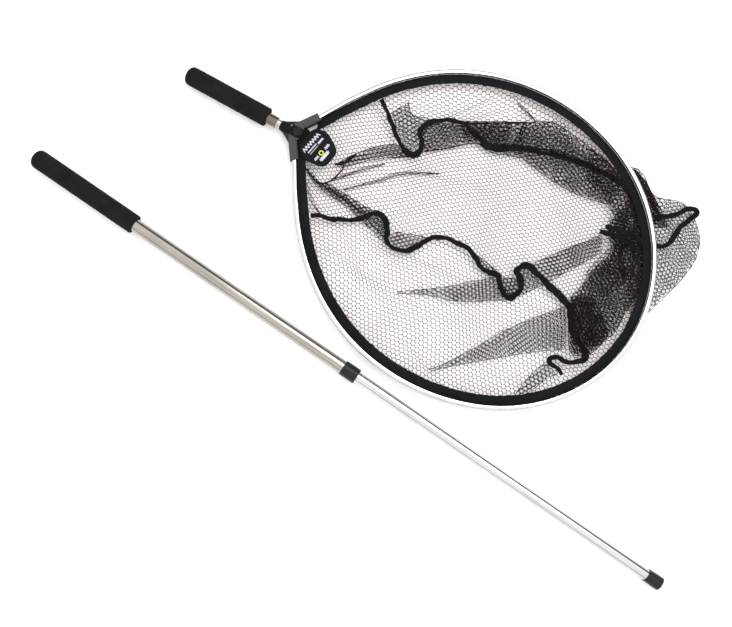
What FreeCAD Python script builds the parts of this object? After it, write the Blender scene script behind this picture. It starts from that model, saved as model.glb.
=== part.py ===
import FreeCAD, Part
import math
import os
import Sketcher
from FreeCAD import Placement, Rotation, Vector

# A landing net kit as it lies on a surface: the net head with its short handle screwed in, and a
# separate two-section telescopic handle beside it.
#
# Millimetres, +Z up, z = 0 on the surface. +X runs along the net from the short handle to the far
# end of the hoop, and the origin is on the surface under the middle of the whole kit.
# Each sub-part is drawn in the frame of its own assembly, which its Placement then moves:
#   net frame   X along the net's axis, origin in the middle of the yoke's block, on the axis
#   bag frame   the same, but with its origin down on the surface
#   pole frame  X along the telescopic handle, origin on its axis at the butt

DIMENSIONS = {
    # Where the assemblies lie
    "frame_x": -232.17,
    "frame_y": 44.235,
    "axis_height": 14.5,
    "pole_butt_x": -318.0,
    "pole_butt_y": -222.0,
    "pole_yaw": -5.42,
    # Hoop: a far arc, a side arc each side and a straight run into each arm, to its outer edge
    "hoop_far_radius": 244.0,
    "hoop_far_centre": 341.0,
    "hoop_side_radius": 310.0,
    "hoop_side_back": 22.0,
    "hoop_width": 7.0,
    "hoop_height": 10.0,
    "hoop_edge_round": 2.2,
    "hoop_end_x": 0.5,
    "neck_angle": 56.0,
    "slot_height": 1.8,
    "slot_lip": 1.3,
    "bead_room": 3.4,
    "bead_diameter": 2.8,
    # Hem band
    "band_width": 15.0,
    "band_thickness": 1.6,
    "band_inset": 7.3,
    "band_neck_x": 20.0,
    # Bag, lying on the surface
    "netting_thickness": 3.0,
    "bag_wall": 2.5,
    "bag_wall_inset": 19.7,
    "bag_wall_top": 13.3,
    "bag_neck_x": 30.0,
    "lobe_thickness": 9.0,
    "tape_width": 7.0,
    "tape_thickness": 3.5,
    "soft_gap": 0.3,
    # Label patch
    "label_x": 39.0,
    "label_y": -3.0,
    "label_turn": -11.0,
    "label_back": 22.8,
    "label_half_back": 17.0,
    "label_wide": 5.0,
    "label_half_wide": 26.5,
    "label_front": 25.6,
    "label_half_front": 15.0,
    "label_lift": 0.1,
    "label_thickness": 1.2,
    "label_corner": 8.0,
    # Yoke
    "arm_start": 6.0,
    "arm_width": 12.6,
    "arm_height": 15.0,
    "arm_length": 46.0,
    "arm_chamfer": 2.2,
    "arm_socket_start": 13.4,
    "arm_socket_room": 0.1,
    "band_slit_start": 20.0,
    "band_slit_room": 0.3,
    "block_start": -10.0,
    "block_half_start": 7.0,
    "block_half_width": 14.0,
    "block_half_end": 8.4,
    "block_end": 8.5,
    "web_start": -21.0,
    "web_half_start": 8.0,
    "web_end": -2.0,
    "web_half_end": 19.0,
    "web_height": 9.0,
    "boss_start": -27.0,
    "boss_shoulder": -19.5,
    "boss_end": -9.5,
    "boss_small_diameter": 14.6,
    "boss_diameter": 19.0,
    "cover_x": 1.0,
    "cover_side": 12.5,
    "cover_height": 2.6,
    "cover_chamfer": 0.9,
    "screw_diameter": 2.9,
    "screw_head_diameter": 5.2,
    "screw_head_height": 1.6,
    "screw_depth": 3.4,
    "screw_near": 22.0,
    "screw_far": 38.0,
    "pin_diameter": 2.6,
    "pin_x": -11.0,
    "pin_y": 4.6,
    "pin_proud": 0.5,
    # Thread: 3/8 inch, drawn plain at its working diameters
    "stud_diameter": 9.5,
    "thread_bore": 9.62,
    "stud_end": -48.0,
    "stud_head_start": -15.0,
    "stud_head_end": -8.0,
    "stud_head_diameter": 12.0,
    # Thrust ring and short handle
    "ring_front": -27.2,
    "ring_back": -33.6,
    "ring_diameter": 14.6,
    "ring_groove": 1.0,
    "stem_front": -33.8,
    "stem_back": -183.0,
    "stem_diameter": 17.0,
    "stem_wall": 1.2,
    "insert_length": 18.0,
    "grip_diameter": 29.0,
    "grip_front": -50.0,
    "grip_back": -188.5,
    "grip_dome": 9.0,
    "grip_edge": 2.0,
    "plug_length": 14.0,
    # Telescopic handle
    "long_grip_length": 181.0,
    "tube_start": 6.0,
    "outer_diameter": 20.0,
    "outer_wall": 1.0,
    "outer_end": 572.0,
    "collar_start": 551.5,
    "collar_end": 576.5,
    "collar_diameter": 23.0,
    "collar_lip_bore": 17.4,
    "collar_edge": 1.2,
    "bush_start": 542.0,
    "bush_bore": 16.76,
    "inner_diameter": 16.6,
    "inner_wall": 0.9,
    "inner_start": 500.0,
    "inner_end": 1097.0,
    "screw_flange": 2.0,
    "screw_plug_length": 16.0,
    "rod_diameter": 5.9,
    "rod_start": 466.0,
    "stop_diameter": 9.0,
    "stop_start": 463.5,
    "collet_start": 474.0,
    "collet_end": 497.7,
    "collet_diameter": 17.84,
    "collet_throat": 7.0,
    "collet_mouth": 12.4,
    "collet_slit": 1.2,
    "collet_solid": 5.0,
    "cone_start": 468.0,
    "cone_end": 484.0,
    "cone_bore": 6.02,
    "cone_gap": 0.12,
    "fitting_start": 1081.0,
    "fitting_end": 1105.0,
    "fitting_small": 18.8,
    "fitting_diameter": 20.0,
    "fitting_edge": 1.0,
    "fitting_neck": 12.4,
    "socket_start": 1075.0,
    "socket_bottom": 1083.0,
}


# How far a cut runs past the solid it is made in
CUT_PAST = 4.0


class Size:
    """A length that knows its value and the sheet expression that gives it."""

    def __init__(self, value, text):
        self.value = value
        self.text = text

    def combine(self, other, sign, value):
        text = other.text if isinstance(other, Size) else repr(other)
        return Size(value, f"({self.text} {sign} {text})")

    def __add__(self, other):
        return self.combine(other, "+", self.value + number(other))

    def __sub__(self, other):
        return self.combine(other, "-", self.value - number(other))

    def __mul__(self, other):
        return self.combine(other, "*", self.value * number(other))

    def __truediv__(self, other):
        return self.combine(other, "/", self.value / number(other))

    def __neg__(self):
        return Size(-self.value, f"(0 - {self.text})")


def number(size):
    return size.value if isinstance(size, Size) else float(size)


def make_sheet(doc):
    """Put every driving dimension in the sheet and return them as sizes."""
    sheet = doc.addObject("Spreadsheet::Sheet", "Sizes")
    sizes = {}
    for row, (alias, value) in enumerate(DIMENSIONS.items(), start=1):
        sheet.set(f"A{row}", alias.replace("_", " "))
        sheet.set(f"B{row}", str(value))
        sheet.setAlias(f"B{row}", alias)
        sizes[alias] = Size(value, f"Sizes.{alias}")
    return sizes


doc = FreeCAD.newDocument("landing_net")
S = make_sheet(doc)
V = DIMENSIONS
parts = []

NET = {"x": S["frame_x"], "y": S["frame_y"], "z": S["axis_height"], "turn": Rotation()}
BAG = {"x": S["frame_x"], "y": S["frame_y"], "z": 0.0, "turn": Rotation()}
LABEL = {"x": S["frame_x"] + S["label_x"], "y": S["frame_y"] + S["label_y"],
         "z": S["axis_height"], "turn": Rotation(Vector(0, 0, 1), V["label_turn"])}

# The telescopic handle rests on its grip's front edge and on its smaller end fitting, so it dips
POLE_DIP = math.degrees(math.atan((V["grip_diameter"] - V["fitting_diameter"]) / 2
                                  / (V["fitting_end"] - V["long_grip_length"])))
POLE_BUTT_Z = (V["long_grip_length"] * math.sin(math.radians(POLE_DIP))
               + V["grip_diameter"] / 2 * math.cos(math.radians(POLE_DIP)))
POLE = {"x": S["frame_x"] + S["pole_butt_x"], "y": S["frame_y"] + S["pole_butt_y"],
        "z": POLE_BUTT_Z,
        "turn": Rotation(Vector(0, 0, 1), V["pole_yaw"]) * Rotation(Vector(0, 1, 0), POLE_DIP)}


# ---------------------------------------------------------------- general helpers

def place(item, frame):
    """Move a finished sub-part into its assembly's frame."""
    base = Vector(number(frame["x"]), number(frame["y"]), number(frame["z"]))
    item.Placement = Placement(base, frame["turn"])
    item.setExpression("Placement.Base.x", frame["x"].text)
    item.setExpression("Placement.Base.y", frame["y"].text)
    if isinstance(frame["z"], Size):
        item.setExpression("Placement.Base.z", frame["z"].text)


def keep(item, name, frame):
    """Name a sub-part, place it and list it for export."""
    item.Label = name
    place(item, frame)
    parts.append(item)


def new_body(name):
    return doc.addObject("PartDesign::Body", name + "_body")


def plane(body, role):
    return next(f for f in body.Origin.OriginFeatures if f.Role == role)


def new_sketch(body, role, name, offset=None):
    """A sketch flat on one of its own body's origin planes, raised from it by offset."""
    sketch = body.newObject("Sketcher::SketchObject", name)
    sketch.AttachmentSupport = [(plane(body, role), "")]
    sketch.MapMode = "FlatFace"
    if offset is not None:
        sketch.AttachmentOffset = Placement(Vector(0, 0, number(offset)), Rotation())
        if isinstance(offset, Size):
            sketch.setExpression("AttachmentOffset.Base.z", offset.text)
    return sketch


def bind(sketch, constraint, size):
    """Add a constraint and, where its value is a size, bind it to the sheet."""
    index = sketch.addConstraint(constraint)
    if isinstance(size, Size):
        sketch.setExpression(f"Constraints[{index}]", size.text)


def pin_point(sketch, geometry, point, x, y):
    """Fix one point of a sketch at x, y, bound to the sheet where they are sizes."""
    for kind, axis, value in (("DistanceX", -2, x), ("DistanceY", -1, y)):
        if number(value) == 0.0 and not isinstance(value, Size):
            sketch.addConstraint(Sketcher.Constraint("PointOnObject", geometry, point, axis))
            continue
        bind(sketch, Sketcher.Constraint(kind, -1, 1, geometry, point, number(value)), value)


def add_outline(sketch, corners):
    """A closed outline of straight lines through corners given as (x, y)."""
    first = sketch.GeometryCount
    count = len(corners)
    for i, (x, y) in enumerate(corners):
        following = corners[(i + 1) % count]
        sketch.addGeometry(Part.LineSegment(Vector(number(x), number(y), 0),
                                            Vector(number(following[0]), number(following[1]), 0)))
    for i in range(count):
        sketch.addConstraint(Sketcher.Constraint(
            "Coincident", first + i, 2, first + (i + 1) % count, 1))
    for i, (x, y) in enumerate(corners):
        pin_point(sketch, first + i, 1, x, y)


def add_circle(sketch, x, y, diameter):
    index = sketch.addGeometry(Part.Circle(Vector(number(x), number(y), 0), Vector(0, 0, 1),
                                           number(diameter) / 2))
    pin_point(sketch, index, 3, x, y)
    bind(sketch, Sketcher.Constraint("Diameter", index, number(diameter)), diameter)


def revolve(body, name, profile, cut=False):
    """Turn a closed profile of (x, radius) corners about the body's X axis."""
    sketch = new_sketch(body, "XZ_Plane", name + "_profile")
    add_outline(sketch, profile)
    kind = "PartDesign::Groove" if cut else "PartDesign::Revolution"
    feature = body.newObject(kind, name)
    feature.Profile = sketch
    feature.ReferenceAxis = (sketch, ["H_Axis"])
    feature.Angle = 360.0
    return feature


def extrude(body, name, sketch, length, cut=False, symmetric=False, reverse=False):
    feature = body.newObject("PartDesign::Pocket" if cut else "PartDesign::Pad", name)
    feature.Profile = sketch
    feature.Length = number(length)
    if isinstance(length, Size):
        feature.setExpression("Length", length.text)
    feature.SideType = "Symmetric" if symmetric else "One side"
    feature.Reversed = reverse
    return feature


def edges_where(feature, test):
    """Names of a feature's edges whose bounding box passes a test."""
    doc.recompute()
    return [f"Edge{i}" for i, edge in enumerate(feature.Shape.Edges, start=1)
            if test(edge.BoundBox)]


def soften(body, kind, name, base, test, size):
    """Fillet or chamfer the edges of base that pass a test."""
    names = edges_where(base, test)
    feature = body.newObject(f"PartDesign::{kind}", name)
    feature.Base = (base, names)
    prop = "Radius" if kind == "Fillet" else "Size"
    setattr(feature, prop, number(size))
    feature.setExpression(prop, size.text)
    return feature


def at_x(x):
    """A test for the circular edges that lie in the plane at x."""
    return lambda box: abs(box.XMin - number(x)) < 1e-4 and abs(box.XMax - number(x)) < 1e-4


def ring_profile(start, end, inner, outer):
    """Profile of a plain tube from start to end between two diameters."""
    return [(start, inner / 2), (end, inner / 2), (end, outer / 2), (start, outer / 2)]


def rod_profile(start, end, outer):
    return [(start, 0), (end, 0), (end, outer / 2), (start, outer / 2)]


def turned(name, frame, profile):
    """A sub-part that is one turned profile."""
    body = new_body(name)
    revolve(body, name + "_turn", profile)
    keep(body, name, frame)


# ---------------------------------------------------------------- hoop, bead and band

SIDE_STEP = V["hoop_side_radius"] - V["hoop_far_radius"]
SIDE_DROP = math.sqrt(SIDE_STEP ** 2 - V["hoop_side_back"] ** 2)
SIDE_CENTRE = Vector(V["hoop_far_centre"] - V["hoop_side_back"], -SIDE_DROP, 0)
FAR_CENTRE = Vector(V["hoop_far_centre"], 0, 0)
JOIN_DIRECTION = (FAR_CENTRE - SIDE_CENTRE).normalize()
NECK = math.radians(V["neck_angle"])
NECK_DIRECTION = Vector(math.cos(NECK), math.sin(NECK), 0)
NECK_NORMAL = Vector(-math.sin(NECK), math.cos(NECK), 0)


def mirrored(point):
    return Vector(point.x, -point.y, point.z)


def outline_points(inset):
    """Points of the +Y half of the hoop's outline, moved inwards from its outer edge by inset."""
    far_radius = V["hoop_far_radius"] - inset
    side_radius = V["hoop_side_radius"] - inset
    join = SIDE_CENTRE + JOIN_DIRECTION * side_radius
    neck = SIDE_CENTRE + NECK_NORMAL * side_radius
    tip = FAR_CENTRE + Vector(far_radius, 0, 0)
    halfway = (JOIN_DIRECTION + Vector(1, 0, 0)).normalize()
    far_mid = FAR_CENTRE + halfway * far_radius
    side_mid = SIDE_CENTRE + (JOIN_DIRECTION + NECK_NORMAL).normalize() * side_radius
    return tip, far_mid, join, side_mid, neck


def neck_point(inset, x):
    """The point at x on the straight run beside the +Y arm."""
    neck = outline_points(inset)[4]
    return neck - NECK_DIRECTION * ((neck.x - x) / NECK_DIRECTION.x)


def apex_x(inset):
    """Where the two straight runs, moved in by inset, would meet on the axis."""
    neck = outline_points(inset)[4]
    return neck.x - neck.y / math.tan(NECK)


def add_half_path(sketch, inset, end_x):
    """Draw the +Y half of the hoop's outline, moved in by inset, from the far end to end_x."""
    tip, far_mid, join, side_mid, neck = outline_points(number(inset))
    end = neck_point(number(inset), number(end_x))
    far = sketch.addGeometry(Part.Arc(tip, far_mid, join))
    side = sketch.addGeometry(Part.Arc(join, side_mid, neck))
    run = sketch.addGeometry(Part.LineSegment(neck, end))
    pin_point(sketch, far, 3, S["hoop_far_centre"], 0)
    sketch.addConstraint(Sketcher.Constraint("PointOnObject", far, 1, -1))
    for arc, radius in ((far, S["hoop_far_radius"] - inset), (side, S["hoop_side_radius"] - inset)):
        bind(sketch, Sketcher.Constraint("Radius", arc, radius.value), radius)
    sketch.addConstraint(Sketcher.Constraint("Tangent", far, 2, side, 1))
    bind(sketch, Sketcher.Constraint("DistanceX", side, 3, far, 3, V["hoop_side_back"]),
         S["hoop_side_back"])
    sketch.addConstraint(Sketcher.Constraint("Tangent", side, 2, run, 1))
    bind(sketch, Sketcher.Constraint("DistanceX", -1, 1, run, 2, number(end_x)), end_x)
    sketch.addConstraint(Sketcher.Constraint("Angle", -1, 1, run, 2, NECK))
    return far, run


def sweep_hoop(name, inset, draw_section):
    """Sweep a section round half of the hoop from its far end, and mirror it."""
    body = new_body(name)
    path = new_sketch(body, "XY_Plane", name + "_path")
    add_half_path(path, inset, S["hoop_end_x"])
    section = new_sketch(body, "XZ_Plane", name + "_section")
    draw_section(section)
    pipe = body.newObject("PartDesign::AdditivePipe", name + "_sweep")
    pipe.Profile = section
    pipe.Spine = (path, ["Edge1", "Edge2", "Edge3"])
    pipe.Mode = "Standard"
    doc.recompute()
    mirror_half(body, name, pipe)
    return body


def mirror_half(body, name, half):
    """Complete a body that is drawn on the +Y side only."""
    mirror = body.newObject("PartDesign::Mirrored", name + "_mirror")
    mirror.Originals = [half]
    mirror.MirrorPlane = (plane(body, "XZ_Plane"), [""])
    body.Tip = mirror


def draw_channel(sketch):
    """The hoop's section at its far end: rounded outside, with a keyhole slot on the inside."""
    outer = S["hoop_far_centre"] + S["hoop_far_radius"]
    inner = outer - S["hoop_width"]
    lip = inner + S["slot_lip"]
    room = lip + S["bead_room"]
    half = S["hoop_height"] / 2
    slot = S["slot_height"] / 2
    cavity = S["bead_room"] / 2
    bevel = S["hoop_edge_round"]
    add_outline(sketch, [
        (inner, half), (outer - bevel, half), (outer - bevel * 0.3, half - bevel * 0.3),
        (outer, half - bevel), (outer, -half + bevel), (outer - bevel * 0.3, -half + bevel * 0.3),
        (outer - bevel, -half),
        (inner, -half),
        (inner, -slot), (lip, -slot), (lip, -cavity), (room, -cavity),
        (room, cavity), (lip, cavity), (lip, slot), (inner, slot)])


def make_hoop():
    hoop = sweep_hoop("hoop_frame", S["hoop_width"] / 2, draw_channel)
    drill = new_sketch(hoop, "XY_Plane", "hoop_frame_drilling")
    for point in screw_points():
        add_circle(drill, point.x, point.y, S["screw_diameter"])
    extrude(hoop, "hoop_frame_holes", drill, S["hoop_height"], cut=True)
    keep(hoop, "hoop_frame", NET)


def make_bead():
    inset = S["hoop_width"] - S["slot_lip"] - S["bead_room"] / 2

    def draw_bead(sketch):
        middle = S["hoop_far_centre"] + S["hoop_far_radius"] - inset
        add_circle(sketch, middle, 0, S["bead_diameter"])

    keep(sweep_hoop("hem_bead", inset, draw_bead), "hem_bead", NET)


def make_band():
    """A flat woven band inside the hoop, open where it enters the arms."""
    body = new_body("hem_band")
    sketch = new_sketch(body, "XY_Plane", "hem_band_outline")
    neck_x = S["band_neck_x"]
    outer = add_half_path(sketch, S["band_inset"], neck_x)
    inner = add_half_path(sketch, S["hoop_width"] + S["band_width"], neck_x)
    for (first, first_end), (second, second_end) in (
            ((outer[0], 1), (inner[0], 1)), ((outer[1], 2), (inner[1], 2))):
        line = sketch.addGeometry(Part.LineSegment(sketch.getPoint(first, first_end),
                                                   sketch.getPoint(second, second_end)))
        sketch.addConstraint(Sketcher.Constraint("Coincident", line, 1, first, first_end))
        sketch.addConstraint(Sketcher.Constraint("Coincident", line, 2, second, second_end))
    half = extrude(body, "hem_band_half", sketch, S["band_thickness"], symmetric=True)
    doc.recompute()
    mirror_half(body, "hem_band", half)
    keep(body, "hem_band", NET)


# ---------------------------------------------------------------- bag

# Routes of the two seam tapes over the surface, from the band near the yoke to the far end
LEFT_SEAM = [(82, 118), (112, 86), (148, 57), (172, 72), (182, 122), (262, 152), (368, 150),
             (440, 160), (492, 150), (530, 164), (548, 178)]
RIGHT_SEAM = [(72, -112), (98, -94), (158, -56), (205, -80), (252, -48), (306, -30), (352, -49),
              (398, -58), (428, -20), (480, -34), (514, -84), (540, -154)]

# Edge of the netting that lies outside the hoop, from the left side round to the far end
LOBE_EDGE = [(462, 200), (488, 209), (522, 186), (583, 198), (604, 178), (618, 128), (617, 88),
             (606, 40), (588, 6), (560, -2)]
LOBE_ROOT = [(545, 60), (490, 130)]


def outline_face(inset, cut_x):
    """A flat face inside the outline moved in by inset, cut off straight at cut_x."""
    tip, far_mid, join, side_mid, neck = outline_points(inset)
    corner = neck_point(inset, cut_x)
    wire = Part.Wire([
        Part.Arc(mirrored(join), tip, join).toShape(),
        Part.Arc(join, side_mid, neck).toShape(),
        Part.makeLine(neck, corner),
        Part.makeLine(corner, mirrored(corner)),
        Part.makeLine(mirrored(corner), mirrored(neck)),
        Part.Arc(mirrored(neck), mirrored(side_mid), mirrored(join)).toShape(),
    ])
    return Part.Face(wire)


def tray(inset):
    """The bag as it lies: netting on the surface and a low wall up to the hem band."""
    outside = outline_face(inset, V["bag_neck_x"]).extrude(Vector(0, 0, V["bag_wall_top"]))
    hollow = outline_face(V["bag_wall_inset"] + V["bag_wall"], V["bag_neck_x"] + V["bag_wall"])
    hollow.translate(Vector(0, 0, V["netting_thickness"]))
    return outside.cut(hollow.extrude(Vector(0, 0, V["bag_wall_top"])))


def smooth_curve(points):
    curve = Part.BSplineCurve()
    curve.interpolate([Vector(x, y, 0) for x, y in points])
    return curve


def ribbon(route, width):
    """A flat face of constant width along a smooth route."""
    curve = smooth_curve(route)
    samples = 4 * len(route)
    sides = ([], [])
    for i in range(samples + 1):
        at = curve.FirstParameter + (curve.LastParameter - curve.FirstParameter) * i / samples
        middle = curve.value(at)
        along = Vector(*curve.tangent(at)[0])
        across = Vector(-along.y, along.x, 0) * (width / 2)
        sides[0].append((middle.x + across.x, middle.y + across.y))
        sides[1].append((middle.x - across.x, middle.y - across.y))
    left = smooth_curve(sides[0]).toShape()
    right = smooth_curve(sides[1]).toShape()
    ends = [Part.makeLine(Vector(*sides[0][k], 0), Vector(*sides[1][k], 0)) for k in (0, -1)]
    return Part.Face(Part.Wire(Part.sortEdges([left, right] + ends)[0]))


def lobe():
    """The netting that lies outside the hoop, passing under it."""
    edge = smooth_curve(LOBE_EDGE)
    start = edge.value(edge.FirstParameter)
    end = edge.value(edge.LastParameter)
    root = [end] + [Vector(x, y, 0) for x, y in LOBE_ROOT] + [start]
    lines = [Part.makeLine(a, b) for a, b in zip(root, root[1:])]
    face = Part.Face(Part.Wire([edge.toShape()] + lines))
    return face.extrude(Vector(0, 0, V["lobe_thickness"]))


def feature(name, shape):
    """Keep a free-form solid as a sub-part on the surface."""
    item = doc.addObject("Part::Feature", name)
    item.Shape = shape
    keep(item, name, BAG)


def make_bag():
    gap = V["soft_gap"]
    height = Vector(0, 0, V["bag_wall_top"] + CUT_PAST)
    corridors = [ribbon(route, V["tape_width"] + 2 * gap).extrude(height)
                 for route in (LEFT_SEAM, RIGHT_SEAM)]
    panels = sorted(tray(V["bag_wall_inset"]).cut(corridors).Solids,
                    key=lambda solid: solid.CenterOfMass.y)
    right, left = panels[0], panels[-1]
    middle = sorted(tray(V["bag_wall_inset"] - gap).cut(corridors).Solids,
                    key=lambda solid: abs(solid.CenterOfMass.y))[0]
    outside = lobe().cut(outline_face(V["bag_wall_inset"] - gap, V["bag_neck_x"]).extrude(height))
    feature("centre_panel", middle.fuse(outside).removeSplitter())
    feature("left_panel", left)
    feature("right_panel", right)
    inside = outline_face(V["bag_wall_inset"], V["bag_neck_x"]).extrude(height)
    for name, route in (("left_seam_tape", LEFT_SEAM), ("right_seam_tape", RIGHT_SEAM)):
        tape = ribbon(route, V["tape_width"]).extrude(Vector(0, 0, V["tape_thickness"]))
        feature(name, tape.common(inside))


def make_label():
    """A shield-shaped patch on the band and netting next to the yoke."""
    body = new_body("label_patch")
    sketch = new_sketch(body, "XY_Plane", "label_patch_outline",
                        S["band_thickness"] / 2 + S["label_lift"])
    right_side = [(S["label_front"], -S["label_half_front"]), (-S["label_wide"], -S["label_half_wide"]),
                  (-S["label_back"], -S["label_half_back"])]
    left_side = [(x, -y) for x, y in reversed(right_side)]
    add_outline(sketch, right_side + left_side)
    pad = extrude(body, "label_patch_pad", sketch, S["label_thickness"])
    soften(body, "Fillet", "label_patch_corners", pad,
           lambda box: box.ZLength > V["label_thickness"] / 2, S["label_corner"])
    keep(body, "label_patch", LABEL)


# ---------------------------------------------------------------- yoke

def arm_axis_point(distance, side, aside=0.0):
    """A point at a distance along an arm's middle line; aside moves it away from the axis."""
    apex = Vector(apex_x(V["hoop_width"] / 2), 0, 0)
    point = apex + NECK_DIRECTION * distance + NECK_NORMAL * aside
    return Vector(point.x, point.y * side, 0)


def screw_points():
    return [arm_axis_point(distance, side)
            for distance in (V["screw_near"], V["screw_far"]) for side in (1, -1)]


def draw_arms(body, name, reach, aside, height, cut=False):
    """Both arms, or a pocket in both, from reach[0] to reach[1] along them and across aside."""
    for side, suffix in ((1, "left"), (-1, "right")):
        sketch = new_sketch(body, "XY_Plane", f"{name}_{suffix}_outline")
        corners = [(reach[0], aside[1]), (reach[1], aside[1]), (reach[1], aside[0]),
                   (reach[0], aside[0])]
        points = [arm_axis_point(distance, side, across) for distance, across in corners]
        add_outline(sketch, [(point.x, point.y) for point in points])
        last = extrude(body, f"{name}_{suffix}", sketch, height, cut=cut, symmetric=True)
    return last


def make_yoke():
    body = new_body("yoke_body")
    block = new_sketch(body, "XY_Plane", "yoke_block_outline")
    right_side = [(S["block_start"], -S["block_half_start"]), (0, -S["block_half_width"]),
                  (S["block_end"], -S["block_half_end"])]
    left_side = [(x, -y) for x, y in reversed(right_side)]
    add_outline(block, right_side + left_side)
    extrude(body, "yoke_block", block, S["arm_height"], symmetric=True)
    arm_side = V["arm_width"] / 2
    beyond = V["arm_length"] + CUT_PAST
    arms = draw_arms(body, "yoke_arm", (V["arm_start"], V["arm_length"]), (-arm_side, arm_side),
                     S["arm_height"])
    top = V["arm_height"] / 2

    def long_top_edge(box):
        level = abs(abs(box.ZMin) - top) < 1e-4 and box.ZLength < 1e-4
        return level and box.YLength > V["arm_width"] and box.XLength > V["arm_width"] / 2

    soften(body, "Chamfer", "yoke_bevel", arms, long_top_edge, S["arm_chamfer"])
    web = new_sketch(body, "XY_Plane", "yoke_web_outline")
    add_outline(web, [
        (S["web_start"], S["web_half_start"]), (S["web_start"], -S["web_half_start"]),
        (S["web_end"], -S["web_half_end"]), (S["web_end"], S["web_half_end"])])
    extrude(body, "yoke_web", web, S["web_height"], symmetric=True)
    revolve(body, "yoke_boss", [
        (S["boss_start"], 0), (S["boss_end"], 0), (S["boss_end"], S["boss_diameter"] / 2),
        (S["boss_shoulder"], S["boss_diameter"] / 2),
        (S["boss_start"], S["boss_small_diameter"] / 2)])
    socket_side = V["hoop_width"] / 2 + V["arm_socket_room"]
    draw_arms(body, "yoke_socket", (V["arm_socket_start"], beyond), (-socket_side, socket_side),
              S["hoop_height"] + S["arm_socket_room"] * 2, cut=True)
    draw_arms(body, "yoke_band_slit", (V["band_slit_start"], beyond), (-arm_side - CUT_PAST, 0.0),
              S["band_thickness"] + S["band_slit_room"] * 2, cut=True)
    revolve(body, "yoke_stud_room", [
        (S["boss_start"] - CUT_PAST, 0), (S["stud_head_end"], 0),
        (S["stud_head_end"], S["stud_head_diameter"] / 2),
        (S["stud_head_start"], S["stud_head_diameter"] / 2),
        (S["stud_head_start"], S["stud_diameter"] / 2),
        (S["boss_start"] - CUT_PAST, S["stud_diameter"] / 2)], cut=True)
    pin = new_sketch(body, "XY_Plane", "yoke_pin_outline", S["arm_height"] / 2 + CUT_PAST)
    add_circle(pin, S["pin_x"], S["pin_y"], S["pin_diameter"])
    extrude(body, "yoke_pin_hole", pin, S["arm_height"] / 2 + CUT_PAST, cut=True)
    for name, diameter, height in (
            ("shank", S["screw_diameter"], S["arm_height"] / 2),
            ("head", S["screw_head_diameter"], S["screw_head_height"])):
        sketch = new_sketch(body, "XY_Plane", f"yoke_screw_{name}_outline", -S["arm_height"] / 2)
        for point in screw_points():
            add_circle(sketch, point.x, point.y, diameter)
        extrude(body, f"yoke_screw_{name}", sketch, height, cut=True, reverse=True)
    keep(body, "yoke_body", NET)


def make_cover():
    """A square cap that stands corner-first on the yoke's block."""
    body = new_body("yoke_cover")
    reach = S["cover_side"] / math.sqrt(2)
    sketch = new_sketch(body, "XY_Plane", "yoke_cover_outline", S["arm_height"] / 2)
    middle = S["cover_x"]
    add_outline(sketch, [(middle + reach, 0), (middle, reach), (middle - reach, 0), (middle, -reach)])
    pad = extrude(body, "yoke_cover_pad", sketch, S["cover_height"])
    top = V["arm_height"] / 2 + V["cover_height"]
    soften(body, "Chamfer", "yoke_cover_bevel", pad,
           lambda box: abs(box.ZMin - top) < 1e-4, S["cover_chamfer"])
    keep(body, "yoke_cover", NET)


def make_screws():
    """Four pan-head screws, up through the arms into the hoop's lower wall."""
    screws = []
    bottom = -V["arm_height"] / 2
    for i, point in enumerate(screw_points(), start=1):
        head = doc.addObject("Part::Cylinder", f"screw_head_{i}")
        shank = doc.addObject("Part::Cylinder", f"screw_shank_{i}")
        for solid, diameter, height, lift in (
                (head, S["screw_head_diameter"], S["screw_head_height"], 0.0),
                (shank, S["screw_diameter"], S["screw_depth"], V["screw_head_height"])):
            solid.setExpression("Radius", (diameter / 2).text)
            solid.setExpression("Height", height.text)
            solid.Placement.Base = point + Vector(0, 0, bottom + lift)
        screw = doc.addObject("Part::Fuse", f"hoop_screw_{i}")
        screw.Base = head
        screw.Tool = shank
        screws.append(screw)
    group = doc.addObject("Part::Compound", "hoop_screw_group")
    group.Links = screws
    keep(group, "hoop_screws", NET)


def make_stud():
    """The stud, its moulded-in head notched for the cross pin."""
    body = new_body("threaded_stud")
    revolve(body, "stud_turn", [
        (S["stud_end"], 0), (S["stud_head_end"], 0),
        (S["stud_head_end"], S["stud_head_diameter"] / 2),
        (S["stud_head_start"], S["stud_head_diameter"] / 2),
        (S["stud_head_start"], S["stud_diameter"] / 2),
        (S["stud_end"], S["stud_diameter"] / 2)])
    notch = new_sketch(body, "XY_Plane", "stud_notch_outline")
    add_circle(notch, S["pin_x"], S["pin_y"], S["pin_diameter"])
    extrude(body, "stud_notch", notch, S["stud_head_diameter"] + CUT_PAST, cut=True, symmetric=True)
    keep(body, "threaded_stud", NET)


def make_pin():
    pin = doc.addObject("Part::Cylinder", "stud_pin_solid")
    pin.setExpression("Radius", (S["pin_diameter"] / 2).text)
    pin.setExpression("Height", (S["boss_diameter"] / 2 + S["pin_proud"]).text)
    holder = doc.addObject("Part::Compound", "stud_pin_group")
    pin.Placement.Base = Vector(V["pin_x"], V["pin_y"], 0)
    holder.Links = [pin]
    keep(holder, "stud_pin", NET)


# ---------------------------------------------------------------- short handle

def make_thrust_ring():
    front = S["ring_front"]
    back = S["ring_back"]
    groove = (front + back) / 2
    outer = S["ring_diameter"] / 2
    turned("thrust_ring", NET, [
        (back, S["thread_bore"] / 2), (front, S["thread_bore"] / 2), (front, outer),
        (groove + S["ring_groove"] / 2, outer), (groove, outer - S["ring_groove"] / 2),
        (groove - S["ring_groove"] / 2, outer), (back, outer)])


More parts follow.
